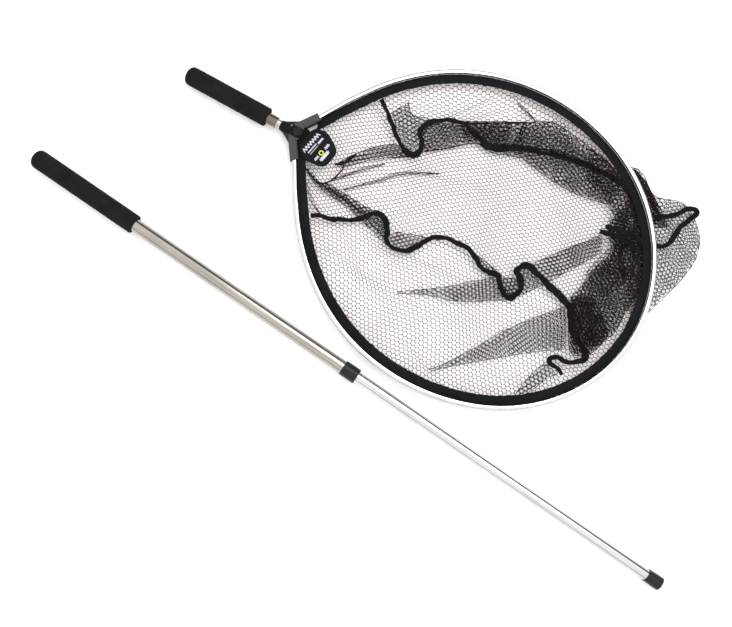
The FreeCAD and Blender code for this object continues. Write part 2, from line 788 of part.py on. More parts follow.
def domed_grip(name, frame, closed_end, open_end, cover):
    """A foam grip, domed at its closed end, with cover of foam past the tube's end."""
    bore = S["outer_diameter"] if frame is POLE else S["stem_diameter"]
    body = new_body(name)
    turn = revolve(body, name + "_turn", [
        (closed_end, 0), (closed_end, S["grip_diameter"] / 2),
        (open_end, S["grip_diameter"] / 2), (open_end, bore / 2),
        (cover, bore / 2), (cover, 0)])
    dome = soften(body, "Fillet", name + "_dome", turn, at_x(closed_end), S["grip_dome"])

    def rim(box):
        return at_x(open_end)(box) and box.YLength > V["grip_diameter"] - 0.1

    soften(body, "Fillet", name + "_rim", dome, rim, S["grip_edge"])
    keep(body, name, frame)


def make_short_handle():
    make_thrust_ring()
    bore = S["stem_diameter"] - S["stem_wall"] * 2
    turned("short_tube", NET, ring_profile(S["stem_back"], S["stem_front"], bore, S["stem_diameter"]))
    domed_grip("short_grip", NET, S["grip_back"], S["grip_front"], S["stem_back"])
    turned("short_insert", NET, ring_profile(S["stem_front"] - S["insert_length"], S["stem_front"],
                                             S["thread_bore"], bore))
    turned("short_butt_plug", NET, rod_profile(S["stem_back"], S["stem_back"] + S["plug_length"], bore))


# ---------------------------------------------------------------- telescopic handle

def make_pole_outer():
    bore = S["outer_diameter"] - S["outer_wall"] * 2
    turned("outer_tube", POLE, ring_profile(S["tube_start"], S["outer_end"], bore, S["outer_diameter"]))
    domed_grip("long_grip", POLE, 0, S["long_grip_length"], S["tube_start"])
    turned("long_butt_plug", POLE, rod_profile(S["tube_start"], S["tube_start"] + S["plug_length"], bore))
    collar = new_body("collar")
    turn = revolve(collar, "collar_turn", [
        (S["collar_start"], S["outer_diameter"] / 2), (S["outer_end"], S["outer_diameter"] / 2),
        (S["outer_end"], S["collar_lip_bore"] / 2), (S["collar_end"], S["collar_lip_bore"] / 2),
        (S["collar_end"], S["collar_diameter"] / 2), (S["collar_start"], S["collar_diameter"] / 2)])

    def rims(box):
        return box.YLength > V["collar_diameter"] - 0.1 and box.XLength < 1e-4

    soften(collar, "Fillet", "collar_rims", turn, rims, S["collar_edge"])
    keep(collar, "collar", POLE)
    turned("guide_bush", POLE, ring_profile(S["bush_start"], S["outer_end"], S["bush_bore"], bore))


def make_lock():
    """The split sleeve and the cone nut that spreads it when the inner section is twisted."""
    body = new_body("expander_collet")
    rod_room = S["collet_throat"] / 2
    revolve(body, "collet_turn", [
        (S["collet_start"], S["collet_mouth"] / 2), (S["collet_end"], rod_room),
        (S["collet_end"], S["collet_diameter"] / 2), (S["collet_start"], S["collet_diameter"] / 2)])
    slit = new_sketch(body, "XY_Plane", "collet_slit_outline")
    half = S["collet_slit"] / 2
    slit_start = S["collet_start"] - CUT_PAST
    slit_end = S["collet_end"] - S["collet_solid"]
    add_outline(slit, [(slit_start, half), (slit_end, half), (slit_end, -half), (slit_start, -half)])
    cut = extrude(body, "collet_slit", slit, S["collet_diameter"] + CUT_PAST, cut=True, symmetric=True)
    pattern = body.newObject("PartDesign::PolarPattern", "collet_slits")
    pattern.Originals = [cut]
    pattern.Axis = (body.Origin.OriginFeatures[0], [""])
    pattern.Angle = 180.0
    pattern.Occurrences = 2
    body.Tip = pattern
    keep(body, "expander_collet", POLE)

    slope = (V["collet_mouth"] - V["collet_throat"]) / (V["collet_end"] - V["collet_start"])
    gap = V["cone_gap"] * 2

    def seat(x):
        """The cone's diameter where it lies in the sleeve's taper, less the gap."""
        return V["collet_mouth"] - slope * (x - V["collet_start"]) - gap

    turned("expander_cone", POLE, [
        (S["cone_start"], S["cone_bore"] / 2), (S["cone_end"], S["cone_bore"] / 2),
        (S["cone_end"], seat(V["cone_end"]) / 2),
        (S["collet_start"], seat(V["collet_start"]) / 2),
        (S["cone_start"], seat(V["collet_start"]) / 2)])


def make_pole_inner():
    bore = S["inner_diameter"] - S["inner_wall"] * 2
    turned("inner_tube", POLE, ring_profile(S["inner_start"], S["inner_end"], bore, S["inner_diameter"]))
    flange = S["inner_start"] - S["screw_flange"]
    turned("expander_screw", POLE, [
        (S["rod_start"], 0), (S["inner_start"] + S["screw_plug_length"], 0),
        (S["inner_start"] + S["screw_plug_length"], bore / 2), (S["inner_start"], bore / 2),
        (S["inner_start"], S["inner_diameter"] / 2), (flange, S["inner_diameter"] / 2),
        (flange, S["rod_diameter"] / 2), (S["rod_start"], S["rod_diameter"] / 2)])
    turned("screw_stop", POLE, rod_profile(S["stop_start"], S["rod_start"], S["stop_diameter"]))
    fitting = new_body("end_fitting")
    turn = revolve(fitting, "end_fitting_turn", [
        (S["fitting_start"], S["inner_diameter"] / 2), (S["inner_end"], S["inner_diameter"] / 2),
        (S["inner_end"], S["fitting_neck"] / 2), (S["fitting_end"], S["fitting_neck"] / 2),
        (S["fitting_end"], S["fitting_diameter"] / 2), (S["inner_end"], S["fitting_diameter"] / 2),
        (S["fitting_start"], S["fitting_small"] / 2)])

    def rim(box):
        return at_x(S["fitting_end"])(box) and box.YLength > V["fitting_diameter"] - 0.1

    soften(fitting, "Fillet", "end_fitting_rim", turn, rim, S["fitting_edge"])
    keep(fitting, "end_fitting", POLE)
    turned("end_insert", POLE, [
        (S["socket_start"], 0), (S["socket_bottom"], 0), (S["socket_bottom"], S["thread_bore"] / 2),
        (S["fitting_end"], S["thread_bore"] / 2), (S["fitting_end"], S["fitting_neck"] / 2),
        (S["inner_end"], S["fitting_neck"] / 2), (S["inner_end"], bore / 2),
        (S["socket_start"], bore / 2)])


# ---------------------------------------------------------------- checks and export

def check_document():
    doc.recompute()
    failed = [item.Name for item in doc.Objects
              if "Invalid" in item.State or "Error" in item.State]
    if failed:
        raise RuntimeError(f"failed objects: {failed}")
    for item in parts:
        if item.Shape.isNull() or not item.Shape.isValid() or not item.Shape.Solids:
            raise RuntimeError(f"bad shape: {item.Label}")


def export_parts():
    os.makedirs("parts", exist_ok=True)
    for item in parts:
        item.Shape.exportStep(f"parts/{item.Label}.step")


def print_summary():
    box = FreeCAD.BoundBox()
    for item in parts:
        box.add(item.Shape.BoundBox)
        print(f"{item.Label:20s} {len(item.Shape.Solids)} solid(s) {item.Shape.Volume:12.1f} mm3")
    print(f"{len(parts)} sub-parts, box {box}")


make_hoop()
make_bead()
make_band()
make_bag()
make_label()
make_yoke()
make_cover()
make_screws()
make_stud()
make_pin()
make_short_handle()
make_pole_outer()
make_lock()
make_pole_inner()
check_document()
export_parts()
print_summary()
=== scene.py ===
import math
import bpy
import numpy as np
from mathutils import Matrix, Vector


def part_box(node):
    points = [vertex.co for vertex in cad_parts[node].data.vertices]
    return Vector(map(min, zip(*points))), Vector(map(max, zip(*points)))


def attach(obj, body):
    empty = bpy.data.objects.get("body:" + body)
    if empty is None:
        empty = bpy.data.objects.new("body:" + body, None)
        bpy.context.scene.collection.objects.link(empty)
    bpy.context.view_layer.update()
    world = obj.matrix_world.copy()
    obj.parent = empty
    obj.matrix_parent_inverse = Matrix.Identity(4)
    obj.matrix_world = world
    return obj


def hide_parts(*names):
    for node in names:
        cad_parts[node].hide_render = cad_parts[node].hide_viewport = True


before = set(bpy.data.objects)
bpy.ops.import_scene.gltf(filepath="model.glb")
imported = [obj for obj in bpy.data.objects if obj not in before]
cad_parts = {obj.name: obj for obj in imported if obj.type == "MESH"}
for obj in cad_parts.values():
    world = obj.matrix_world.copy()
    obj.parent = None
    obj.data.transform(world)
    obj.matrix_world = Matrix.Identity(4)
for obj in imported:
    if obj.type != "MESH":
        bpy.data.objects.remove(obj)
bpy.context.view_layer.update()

# A landing net kit lying on a pale floor: the net head with its short handle, and a telescopic handle.
# Shapes are worked out in the net frame, in millimetres: X along the net from the middle of the yoke's
# block to the far end of the hoop, +Y to the left, Z up from the floor. to_row moves them to the row
# frame, in metres.

MM = 0.001

hoop_low, hoop_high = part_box("hoop_frame")
HOOP_FAR_END = 585.0
NET_X = hoop_high[0] / MM - HOOP_FAR_END
NET_Y = (hoop_low[1] + hoop_high[1]) / 2 / MM
HOOP_Z = (hoop_low[2] + hoop_high[2]) / 2 / MM

# The hoop's outer edge: a far arc, a side arc each side and a straight run to each arm
FAR_CENTRE = 341.0
FAR_RADIUS = HOOP_FAR_END - FAR_CENTRE
SIDE_RADIUS = 310.0
SIDE_BACK = 22.0
SIDE_CENTRE = (FAR_CENTRE - SIDE_BACK,
               -math.sqrt((SIDE_RADIUS - FAR_RADIUS) ** 2 - SIDE_BACK ** 2))
JOIN_ANGLE = math.atan2(-SIDE_CENTRE[1], SIDE_BACK)
NECK_ANGLE = math.radians(56.0)
HOOP_WIDTH = 7.0
HOOP_HEIGHT = 10.0
HOOP_START_X = 3.0
HOOP_STEPS = 120
BAND_WIDTH = 15.0
BAND_START_X = 12.0
BAND_POINTS = 1120
BAND_LENGTH = 1750.0
BAND_INNER = HOOP_WIDTH + BAND_WIDTH
# The sprung hoop as it lies: how far it stands out from its drawn outline, by the outline's direction
# in degrees, from the right arm round the far end to the left arm
SPRING = [(-146, 3.6), (-136, 3.4), (-128, 4.0), (-116, 6.0), (-104, 6.4), (-92, 6.0), (-80, 5.8),
          (-68, 5.8), (-56, 6.4), (-42, 7.2), (-28, 8.0), (-14, 8.0), (0, 6.0), (14, 2.2), (28, -1.0),
          (42, -2.6), (56, -3.3), (70, -2.8), (82, -1.0), (93, 0.8), (105, 2.2), (116, 3.4), (128, 3.6),
          (139, 3.6), (146, 4.2)]


# ------------------------------------------------------------ small geometry helpers

def to_row(points):
    """Net frame millimetres to row frame metres."""
    return (np.asarray(points, float) + (NET_X, NET_Y, 0.0)) * MM


def unit(vectors):
    return vectors / np.maximum(np.linalg.norm(vectors, axis=-1, keepdims=True), 1e-9)


def smooth_line(points, step=2.0):
    """A smooth curve through given points, as points at even distances about step apart."""
    p = np.array(points, float)
    padded = np.vstack([2 * p[0] - p[1], p, 2 * p[-1] - p[-2]])
    t = np.linspace(0, 1, 16, endpoint=False)[:, None]
    spans = []
    for a, b, c, d in zip(padded, padded[1:], padded[2:], padded[3:]):
        spans.append(0.5 * (2 * b + (c - a) * t + (2 * a - 5 * b + 4 * c - d) * t ** 2
                            + (3 * b - a - 3 * c + d) * t ** 3))
    dense = np.vstack(spans + [p[-1:]])
    length = np.linalg.norm(np.diff(dense, axis=0), axis=1).sum()
    return resample(dense, max(2, int(round(length / step)) + 1))


def resample(line, count):
    """The same line as count points at even distances."""
    run = np.concatenate([[0.0], np.cumsum(np.linalg.norm(np.diff(line, axis=0), axis=1))])
    at = np.linspace(0, run[-1], count)
    return np.stack([np.interp(at, run, line[:, k]) for k in range(line.shape[1])], axis=1)


def raise_to(line, height):
    """A line in the plane as points at a height."""
    return np.column_stack([line, np.broadcast_to(height, len(line))])


def turned(x, y, angle):
    """Coordinates turned about the origin by an angle in radians."""
    return x * math.cos(angle) - y * math.sin(angle), x * math.sin(angle) + y * math.cos(angle)


def waves(x, y, size, seed):
    """Smooth uneven waves of about size millimetres, from -1 to 1."""
    random = np.random.default_rng(seed)
    total = 0.0
    for _ in range(5):
        angle = random.uniform(0, 2 * math.pi)
        stretch = random.uniform(0.7, 1.5) * size
        phase = random.uniform(0, 2 * math.pi)
        total = total + np.sin((x * math.cos(angle) + y * math.sin(angle)) * 2 * math.pi / stretch + phase)
    return total / 3.2


def waves_along(run, size, seed):
    """The same uneven waves along a line, from the distances run along it."""
    return waves(run, 0 * run, size, seed)


def spring(angle, x):
    """How far the hoop stands out at a direction of its outline, in radians, right side negative.

    The arms hold it in place, so it springs only beyond them.
    """
    places, amounts = np.array(SPRING).T
    angle = np.degrees(angle)
    out = sum(np.interp(angle + step, places, amounts) for step in (-8, -4, 0, 4, 8)) / 5
    return out * np.clip((x - 16.0) / 30.0, 0.0, 1.0)


def inset_of(x, y):
    """How far a point lies inside the hoop's outer edge."""
    side_of = np.where(y < 0, -1.0, 1.0)
    y = np.abs(y)
    from_side = np.stack([x - SIDE_CENTRE[0], y - SIDE_CENTRE[1]], axis=-1)
    angle = np.arctan2(from_side[..., 1], from_side[..., 0])
    far_angle = np.arctan2(y, x - FAR_CENTRE)
    neck_normal = NECK_ANGLE + math.pi / 2
    far = FAR_RADIUS - np.hypot(x - FAR_CENTRE, y)
    side = SIDE_RADIUS - np.linalg.norm(from_side, axis=-1)
    run = SIDE_RADIUS - from_side @ np.array([math.cos(neck_normal), math.sin(neck_normal)])
    inset = np.where(angle < JOIN_ANGLE, far, np.where(angle < neck_normal, side, run))
    angle = np.where(angle < JOIN_ANGLE, far_angle, np.minimum(angle, neck_normal))
    return inset + spring(angle * side_of, x)


def hoop_line(inset, start_x, steps=60):
    """The hoop's outline moved in by inset, from start_x on the left arm round to the right arm."""
    neck_normal = NECK_ANGLE + math.pi / 2
    angles = np.concatenate([np.full(steps // 3, neck_normal),
                             np.linspace(neck_normal, JOIN_ANGLE, steps, False),
                             np.linspace(JOIN_ANGLE, 0, steps)])
    angles = np.concatenate([angles, -angles[-2::-1]])
    line = []
    for k, signed in enumerate(angles):
        angle = abs(signed)
        centre, radius = ((FAR_CENTRE, 0.0), FAR_RADIUS) if angle < JOIN_ANGLE else (SIDE_CENTRE, SIDE_RADIUS)
        x = centre[0] + (radius - inset) * math.cos(angle)
        y = centre[1] + (radius - inset) * math.sin(angle)
        along = min(k, len(angles) - 1 - k) / (steps // 3)
        if along < 1:
            back = (x - start_x) * (1 - along)
            x, y = x - back, y - back * math.tan(NECK_ANGLE)
        out = spring(signed, x)
        line.append((x + out * math.cos(angle), math.copysign(y + out * math.sin(angle), signed)))
    return np.array(line)


def inside(x, y, outline):
    """True where a point lies inside a closed outline."""
    found = np.zeros(np.shape(x), bool)
    for (xa, ya), (xb, yb) in zip(outline, np.roll(outline, -1, axis=0)):
        crosses = (ya > y) != (yb > y)
        at = xa + (y - ya) * (xb - xa) / (yb - ya if yb != ya else 1e-9)
        found ^= crosses & (x < at)
    return found


# ------------------------------------------------------------ materials

class Shader:
    """A node material with one Principled shader, and short calls that add its texture nodes."""

    def __init__(self, name, colour, roughness, metallic=0.0, shine=0.5):
        self.material = bpy.data.materials.new(name)
        self.material.use_nodes = True
        self.tree = self.material.node_tree
        self.surface = self.tree.nodes["Principled BSDF"]
        self.surface.inputs["Base Color"].default_value = (*colour, 1.0)
        self.surface.inputs["Roughness"].default_value = roughness
        self.surface.inputs["Metallic"].default_value = metallic
        self.surface.inputs["Specular IOR Level"].default_value = shine
        self.place = self.node("ShaderNodeTexCoord").outputs["Object"]

    def node(self, kind, **inputs):
        node = self.tree.nodes.new(kind)
        for name, value in inputs.items():
            socket = node.inputs[name]
            if isinstance(value, bpy.types.NodeSocket):
                self.tree.links.new(value, socket)
            else:
                socket.default_value = value
        return node

    def mapped(self, scale, turn=0.0):
        """Object coordinates, turned about Z in degrees and then scaled."""
        turned = self.node("ShaderNodeMapping", Vector=self.place)
        turned.inputs["Rotation"].default_value = (0, 0, math.radians(turn))
        sized = self.node("ShaderNodeMapping", Vector=turned.outputs["Vector"])
        sized.inputs["Scale"].default_value = scale
        return sized.outputs["Vector"]

    def noise(self, vector, scale, detail=2.0):
        return self.node("ShaderNodeTexNoise", Vector=vector, Scale=scale, Detail=detail).outputs["Fac"]

    def wave(self, vector, scale, direction, distortion=0.0):
        node = self.node("ShaderNodeTexWave", Vector=vector, Scale=scale, Distortion=distortion)
        node.bands_direction = direction
        return node.outputs["Fac"]

    def ramp(self, value, low, high, start=0.3, end=0.7):
        node = self.node("ShaderNodeValToRGB", Fac=value)
        node.color_ramp.elements[0].position = start
        node.color_ramp.elements[1].position = end
        node.color_ramp.elements[0].color = (*low, 1.0)
        node.color_ramp.elements[1].color = (*high, 1.0)
        return node.outputs["Color"]

    def mix(self, a, b, factor=0.5, blend="MIX"):
        node = self.node("ShaderNodeMixRGB", Color1=a, Color2=b, Fac=factor)
        node.blend_type = blend
        return node.outputs["Color"]

    def span(self, value, low, high):
        """value from 0..1 brought to low..high."""
        node = self.node("ShaderNodeMapRange", Value=value)
        node.inputs["To Min"].default_value = low
        node.inputs["To Max"].default_value = high
        return node.outputs["Result"]

    def colour(self, socket):
        self.tree.links.new(socket, self.surface.inputs["Base Color"])

    def rough(self, socket):
        self.tree.links.new(socket, self.surface.inputs["Roughness"])

    def bump(self, height, distance, strength=1.0):
        node = self.node("ShaderNodeBump", Height=height, Distance=distance, Strength=strength)
        self.tree.links.new(node.outputs["Normal"], self.surface.inputs["Normal"])


def foam(name):
    """Black closed-cell foam, with fine pores and a slightly paler rubbed bloom."""
    s = Shader(name, (0.010, 0.010, 0.011), 0.85, shine=0.08)
    fine = s.noise(s.place, 900.0, 4.0)
    bloom = s.noise(s.place, 45.0, 3.0)
    s.colour(s.mix(s.ramp(fine, (0.004, 0.004, 0.0045), (0.014, 0.014, 0.015)),
                   s.ramp(bloom, (0.006, 0.006, 0.0065), (0.018, 0.018, 0.019)), 0.45))
    s.rough(s.span(fine, 0.75, 0.95))
    s.bump(fine, 0.0004, 0.8)
    return s.material


def drawn_metal(name, dark, bright, roughness, turn=0.0, streak=(6.0, 900.0, 900.0)):
    """Drawn and polished tube: fine lines along it and slow changes of tone."""
    s = Shader(name, bright, roughness, metallic=1.0)
    lines = s.noise(s.mapped(streak, turn), 1.0, 3.0)
    cloud = s.noise(s.place, 14.0, 2.0)
    s.colour(s.mix(s.ramp(lines, dark, bright, 0.25, 0.6), s.ramp(cloud, dark, bright, 0.1, 0.55), 0.4))
    s.rough(s.span(lines, roughness * 0.8, roughness * 1.35))
    s.bump(lines, 0.00003, 0.35)
    return s.material


def satin_metal(name, colour, roughness):
    """Satin anodised aluminium with faint mill marks and scuffs."""
    s = Shader(name, colour, roughness, metallic=1.0)
    grain = s.noise(s.place, 1600.0, 2.0)
    scuff = s.noise(s.place, 60.0, 5.0)
    low = tuple(c * 0.82 for c in colour)
    s.colour(s.mix(s.ramp(grain, low, colour), s.ramp(scuff, low, colour, 0.35, 0.6), 0.5))
    s.rough(s.span(scuff, roughness * 0.85, roughness * 1.25))
    s.bump(grain, 0.00004, 0.3)
    return s.material


def moulded(name, colour, roughness, shine=0.25):
    """Moulded nylon with a fine spark-eroded grain and rubbed high spots."""
    s = Shader(name, colour, roughness, shine=shine)
    grain = s.noise(s.place, 700.0, 3.0)
    wear = s.noise(s.place, 55.0, 4.0)
    low = tuple(c * 0.75 for c in colour)
    high = tuple(min(1.0, c * 1.35 + 0.004) for c in colour)
    s.colour(s.mix(s.ramp(grain, low, high), s.ramp(wear, low, high, 0.35, 0.75), 0.5))
    s.rough(s.span(wear, roughness * 0.85, min(1.0, roughness * 1.2)))
    s.bump(grain, 0.00012, 0.5)
    return s.material


def nylon_with_painted_top_light(name, inner, outer, centre, aside, above, roughness):
    """Moulded nylon of one colour, with a paler colour painted as top light where it stands clear of a centre
    in object coordinates.

    The paler colour, outer, is a painted highlight on the upper faces; it starts beyond aside across the part
    and above in height.
    """
    s = Shader(name, inner, roughness, shine=0.1)
    offset = s.node("ShaderNodeVectorMath")
    offset.operation = "SUBTRACT"
    s.tree.links.new(s.place, offset.inputs[0])
    offset.inputs[1].default_value = centre
    parts = s.node("ShaderNodeSeparateXYZ", Vector=offset.outputs["Vector"])
    across = s.node("ShaderNodeMath")
    across.operation = "ABSOLUTE"
    s.tree.links.new(parts.outputs["Y"], across.inputs[0])
    top_light_masks = []
    for value, (start, end) in ((across.outputs["Value"], aside), (parts.outputs["Z"], above)):
        mask = s.node("ShaderNodeMapRange", Value=value)
        mask.inputs["From Min"].default_value = start
        mask.inputs["From Max"].default_value = end
        top_light_masks.append(mask.outputs["Result"])
    grain = s.noise(s.place, 800.0, 3.0)
    tones = [s.ramp(grain, tuple(c * 0.75 for c in colour), tuple(c * 1.25 for c in colour))
             for colour in (inner, outer)]
    # the paler colour on the raised faces clear of the centre is painted top light, not a second moulding
    # colour
    s.colour(s.mix(tones[0], s.mix(*tones, top_light_masks[0]), top_light_masks[1]))
    s.rough(s.span(grain, roughness * 0.85, roughness * 1.15))
    s.bump(grain, 0.00012, 0.5)
    return s.material


def woven(name, low, high, pitch, turn=0.0):
    """Woven tape: warp and weft ribs crossing at pitch metres, with a soft sheen."""
    s = Shader(name, high, 0.8, shine=0.06)
    rib = s.mapped((1.0, 1.0, 1.0), turn)
    warp = s.wave(rib, 1.0 / pitch / 3.14, "X", 0.6)
    weft = s.wave(rib, 1.0 / pitch / 3.14, "Y", 0.6)
    cloth = s.mix(warp, weft, 1.0, "MULTIPLY")
    fuzz = s.noise(s.place, 1500.0, 3.0)
    fade = s.noise(s.place, 30.0, 3.0)
    s.colour(s.mix(s.ramp(cloth, low, high, 0.05, 0.6), s.ramp(fade, low, high, 0.3, 0.8), 0.4))
    s.rough(s.span(fuzz, 0.7, 0.95))
    s.bump(cloth, 0.0003, 0.7)
    s.surface.inputs["Sheen Weight"].default_value = 0.02
    return s.material


def yarn(name, low, high):
    """Soft-twisted netting yarn, a noise between a low and a high tone; the netting's folds take a near-black
    copy as painted shade, and its single layer a brown one.
    """
    s = Shader(name, high, 0.75, shine=0.12)
    shade = s.noise(s.place, 220.0, 2.0)
    s.colour(s.ramp(shade, low, high, 0.3, 0.7))
    return s.material


def flat_print(name, low, high, roughness):
    """Printed rubber: even colour with slight ink mottling."""
    s = Shader(name, high, roughness, shine=0.1)
    mottle = s.noise(s.place, 800.0, 4.0)
    s.colour(s.ramp(mottle, low, high, 0.3, 0.6))
    s.rough(s.span(mottle, roughness * 0.9, min(1.0, roughness * 1.15)))
    s.bump(mottle, 0.00006, 0.4)
    return s.material


# ------------------------------------------------------------ pieces from arrays

def new_piece(name, points, faces, material, slot, second=None, split=0):
    """A smooth mesh object from net-frame points and quads, riding with the net head.

    Its first split faces take the material second, if there is one.
    """
    points = to_row(points)
    faces = np.asarray(faces, np.int32)
    mesh = bpy.data.meshes.new(name)
    sides = faces.shape[1]
    mesh.vertices.add(len(points))
    mesh.vertices.foreach_set("co", points.ravel())
    mesh.loops.add(faces.size)
    mesh.loops.foreach_set("vertex_index", faces.ravel())
    mesh.polygons.add(len(faces))
    mesh.polygons.foreach_set("loop_start", np.arange(0, faces.size, sides, dtype=np.int32))
    mesh.update(calc_edges=True)
    mesh.validate()
    mesh.polygons.foreach_set("use_smooth", np.full(len(mesh.polygons), True))
    piece = bpy.data.objects.new(name, mesh)
    bpy.context.scene.collection.objects.link(piece)
    mesh.materials.append(material)
    if second:
        mesh.materials.append(second)
        mesh.polygons.foreach_set("material_index", (np.arange(len(mesh.polygons)) < split).astype(np.int32))
    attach(piece, "net_head")
    return piece


def rings(points, along, radius, sides=4):
    """A small ring of points round each point, square to its direction."""
    up = np.array([0.0, 0.0, 1.0])
    side = np.cross(along, up)
    steep = (np.linalg.norm(side, axis=-1, keepdims=True)
             < 0.05 * np.linalg.norm(along, axis=-1, keepdims=True))
    side = unit(np.where(steep, np.array([1.0, 0.0, 0.0]), side))
    rise = unit(np.cross(side, along))
    angles = (np.arange(sides) + 0.5) * 2 * math.pi / sides
    around = side[..., None, :] * np.cos(angles)[:, None] + rise[..., None, :] * np.sin(angles)[:, None]
    return points[..., None, :] + around * radius


def tube_faces(first, second, sides=4):
    """Quads between two rings whose first points have these indices."""
    k = np.arange(sides)
    following = (k + 1) % sides
    return np.stack([first[:, None] + k, first[:, None] + following,
                     second[:, None] + following, second[:, None] + k], axis=-1).reshape(-1, 4)


def swept(loops):
    """A tube through loops of points, given as loops by points by three, as (points, faces)."""
    count, sides = loops.shape[:2]
    index = np.arange(count) * sides
    return loops.reshape(-1, 3), tube_faces(index[:-1], index[1:], sides)


def compact(points, faces):
    """Drop the points that no face uses."""
    used, renumbered = np.unique(faces, return_inverse=True)
    return points[used], renumbered.reshape(faces.shape)


# ------------------------------------------------------------ netting

YARN_RADIUS = 0.57
JOIN_RADIUS = 0.63


def netting(place, span_a, span_b, angle, cell):
    """Knotless hexagonal netting over a patch of cloth, as (points, faces).

    place(a, b) takes distances on the cloth and returns net-frame points and where the cloth is kept.
    Yarns zigzag along a direction turned by angle, and short thicker joins link each to the next.
    """
    centre = np.array([sum(span_a) / 2, sum(span_b) / 2])
    reach = math.hypot(span_a[1] - span_a[0], span_b[1] - span_b[0]) / 2 + cell
    edge = cell / math.sqrt(3)
    columns = np.arange(-int(reach / cell * 2) - 1, int(reach / cell * 2) + 2)
    rows = np.arange(-int(reach / edge / 1.5) - 1, int(reach / edge / 1.5) + 2)
    row, column = np.meshgrid(rows, columns, indexing="ij")
    a = column * cell / 2
    up = np.where((row + column) % 2 == 0, 1.0, -1.0)
    b = row * edge * 1.5 + up * edge / 4
    a, b = turned(a, b, math.radians(angle))
    points, kept = place(centre[0] + a, centre[1] + b)
    along = np.zeros_like(points)
    along[:, 1:-1] = points[:, 2:] - points[:, :-2]
    along[:, 0] = points[:, 1] - points[:, 0]
    along[:, -1] = points[:, -1] - points[:, -2]
    zigzag = rings(points, along, YARN_RADIUS)
    index = np.arange(row.size).reshape(row.shape) * 4
    pairs = kept[:, :-1] & kept[:, 1:]
    faces = [tube_faces(index[:, :-1][pairs], index[:, 1:][pairs])]
    # a join from each upper corner to the lower corner of the next yarn
    joined = (up[:-1] > 0) & kept[:-1] & kept[1:]
    low_end = points[:-1][joined]
    high_end = points[1:][joined]
    direction = high_end - low_end
    joins = np.stack([rings(end, direction, JOIN_RADIUS) for end in (low_end, high_end)], axis=1)
    first = zigzag.size // 3 + np.arange(len(low_end)) * 8
    faces.append(tube_faces(first, first + 4))
    everything = np.concatenate([zigzag.reshape(-1, 3), joins.reshape(-1, 3)])
    return compact(everything, np.concatenate(faces))


def gather(parts):
    """Several (points, faces) as one."""
    points, faces, count = [], [], 0
    for p, f in parts:
        points.append(p)
        faces.append(f + count)
        count += len(p)
    return np.concatenate(points), np.concatenate(faces)


# Soft creases: lines where the cloth bunches, as (start, end, how much it draws in, width, height)
CREASES = [
    ((102, -39), (183, 37), 2.4, 5.0, 3.0),
    ((78, -37), (137, 27), 2.0, 4.0, 3.0),
    ((183, 37), (300, 65), 1.8, 7.0, 2.0),
    ((221, -82), (314, -78), 2.2, 6.0, 3.0),
    ((130, -135), (232, -147), 2.6, 6.0, 4.0),
    ((120, -87), (190, -147), 2.6, 8.0, 3.0),
    ((150, -83), (240, -105), 2.2, 6.0, 3.0),
    ((256, 215), (310, 199), 2.6, 4.0, 5.0),
    ((180, 131), (235, 203), 2.6, 5.0, 4.0),
    ((190, 127), (262, 193), 2.0, 5.0, 3.0),
    ((345, -219), (300, -203), 2.0, 5.0, 3.0),
    ((420, -67), (470, -57), 2.0, 8.0, 3.0),
]
FLOOR_LIFT = 0.9
HEM_Z = HOOP_Z - 1.6
HEM_REACH = 17.0


def creased(x, y):
    """Draw the cloth in beside each crease and raise it there: returns x, y and the height."""
    height = np.zeros_like(x)
    for (xa, ya), (xb, yb), draw, width, rise in CREASES:
        length = math.hypot(xb - xa, yb - ya)
        ux, uy = (xb - xa) / length, (yb - ya) / length
        run = ((x - xa) * ux + (y - ya) * uy) / length
        off = -(x - xa) * uy + (y - ya) * ux
        share = 1 / (1 + np.exp(-run * 14)) / (1 + np.exp((run - 1) * 14))
        shift = -draw * share * np.tanh(off / width) * np.exp(-(off / (width * 7)) ** 2)
        x = x - shift * uy
        y = y + shift * ux
        height = height + rise * share * np.exp(-(off / width) ** 2)
    return x, y, height


def bag_height(x, y):
    """Height of the single layer of cloth: up to the hem band at the hoop, down on the floor inside."""
    from_hem = np.maximum(inset_of(x, y) - BAND_INNER + 3.0, 0.0)
    hang = np.exp(-(from_hem / HEM_REACH) ** 1.6)
    ripple = 1.3 * (1 + waves(x, y, 120.0, 3)) + 0.8 * (1 + waves(x, y, 46.0, 4))
    return FLOOR_LIFT + (HEM_Z - FLOOR_LIFT) * hang + ripple * (1 - hang)


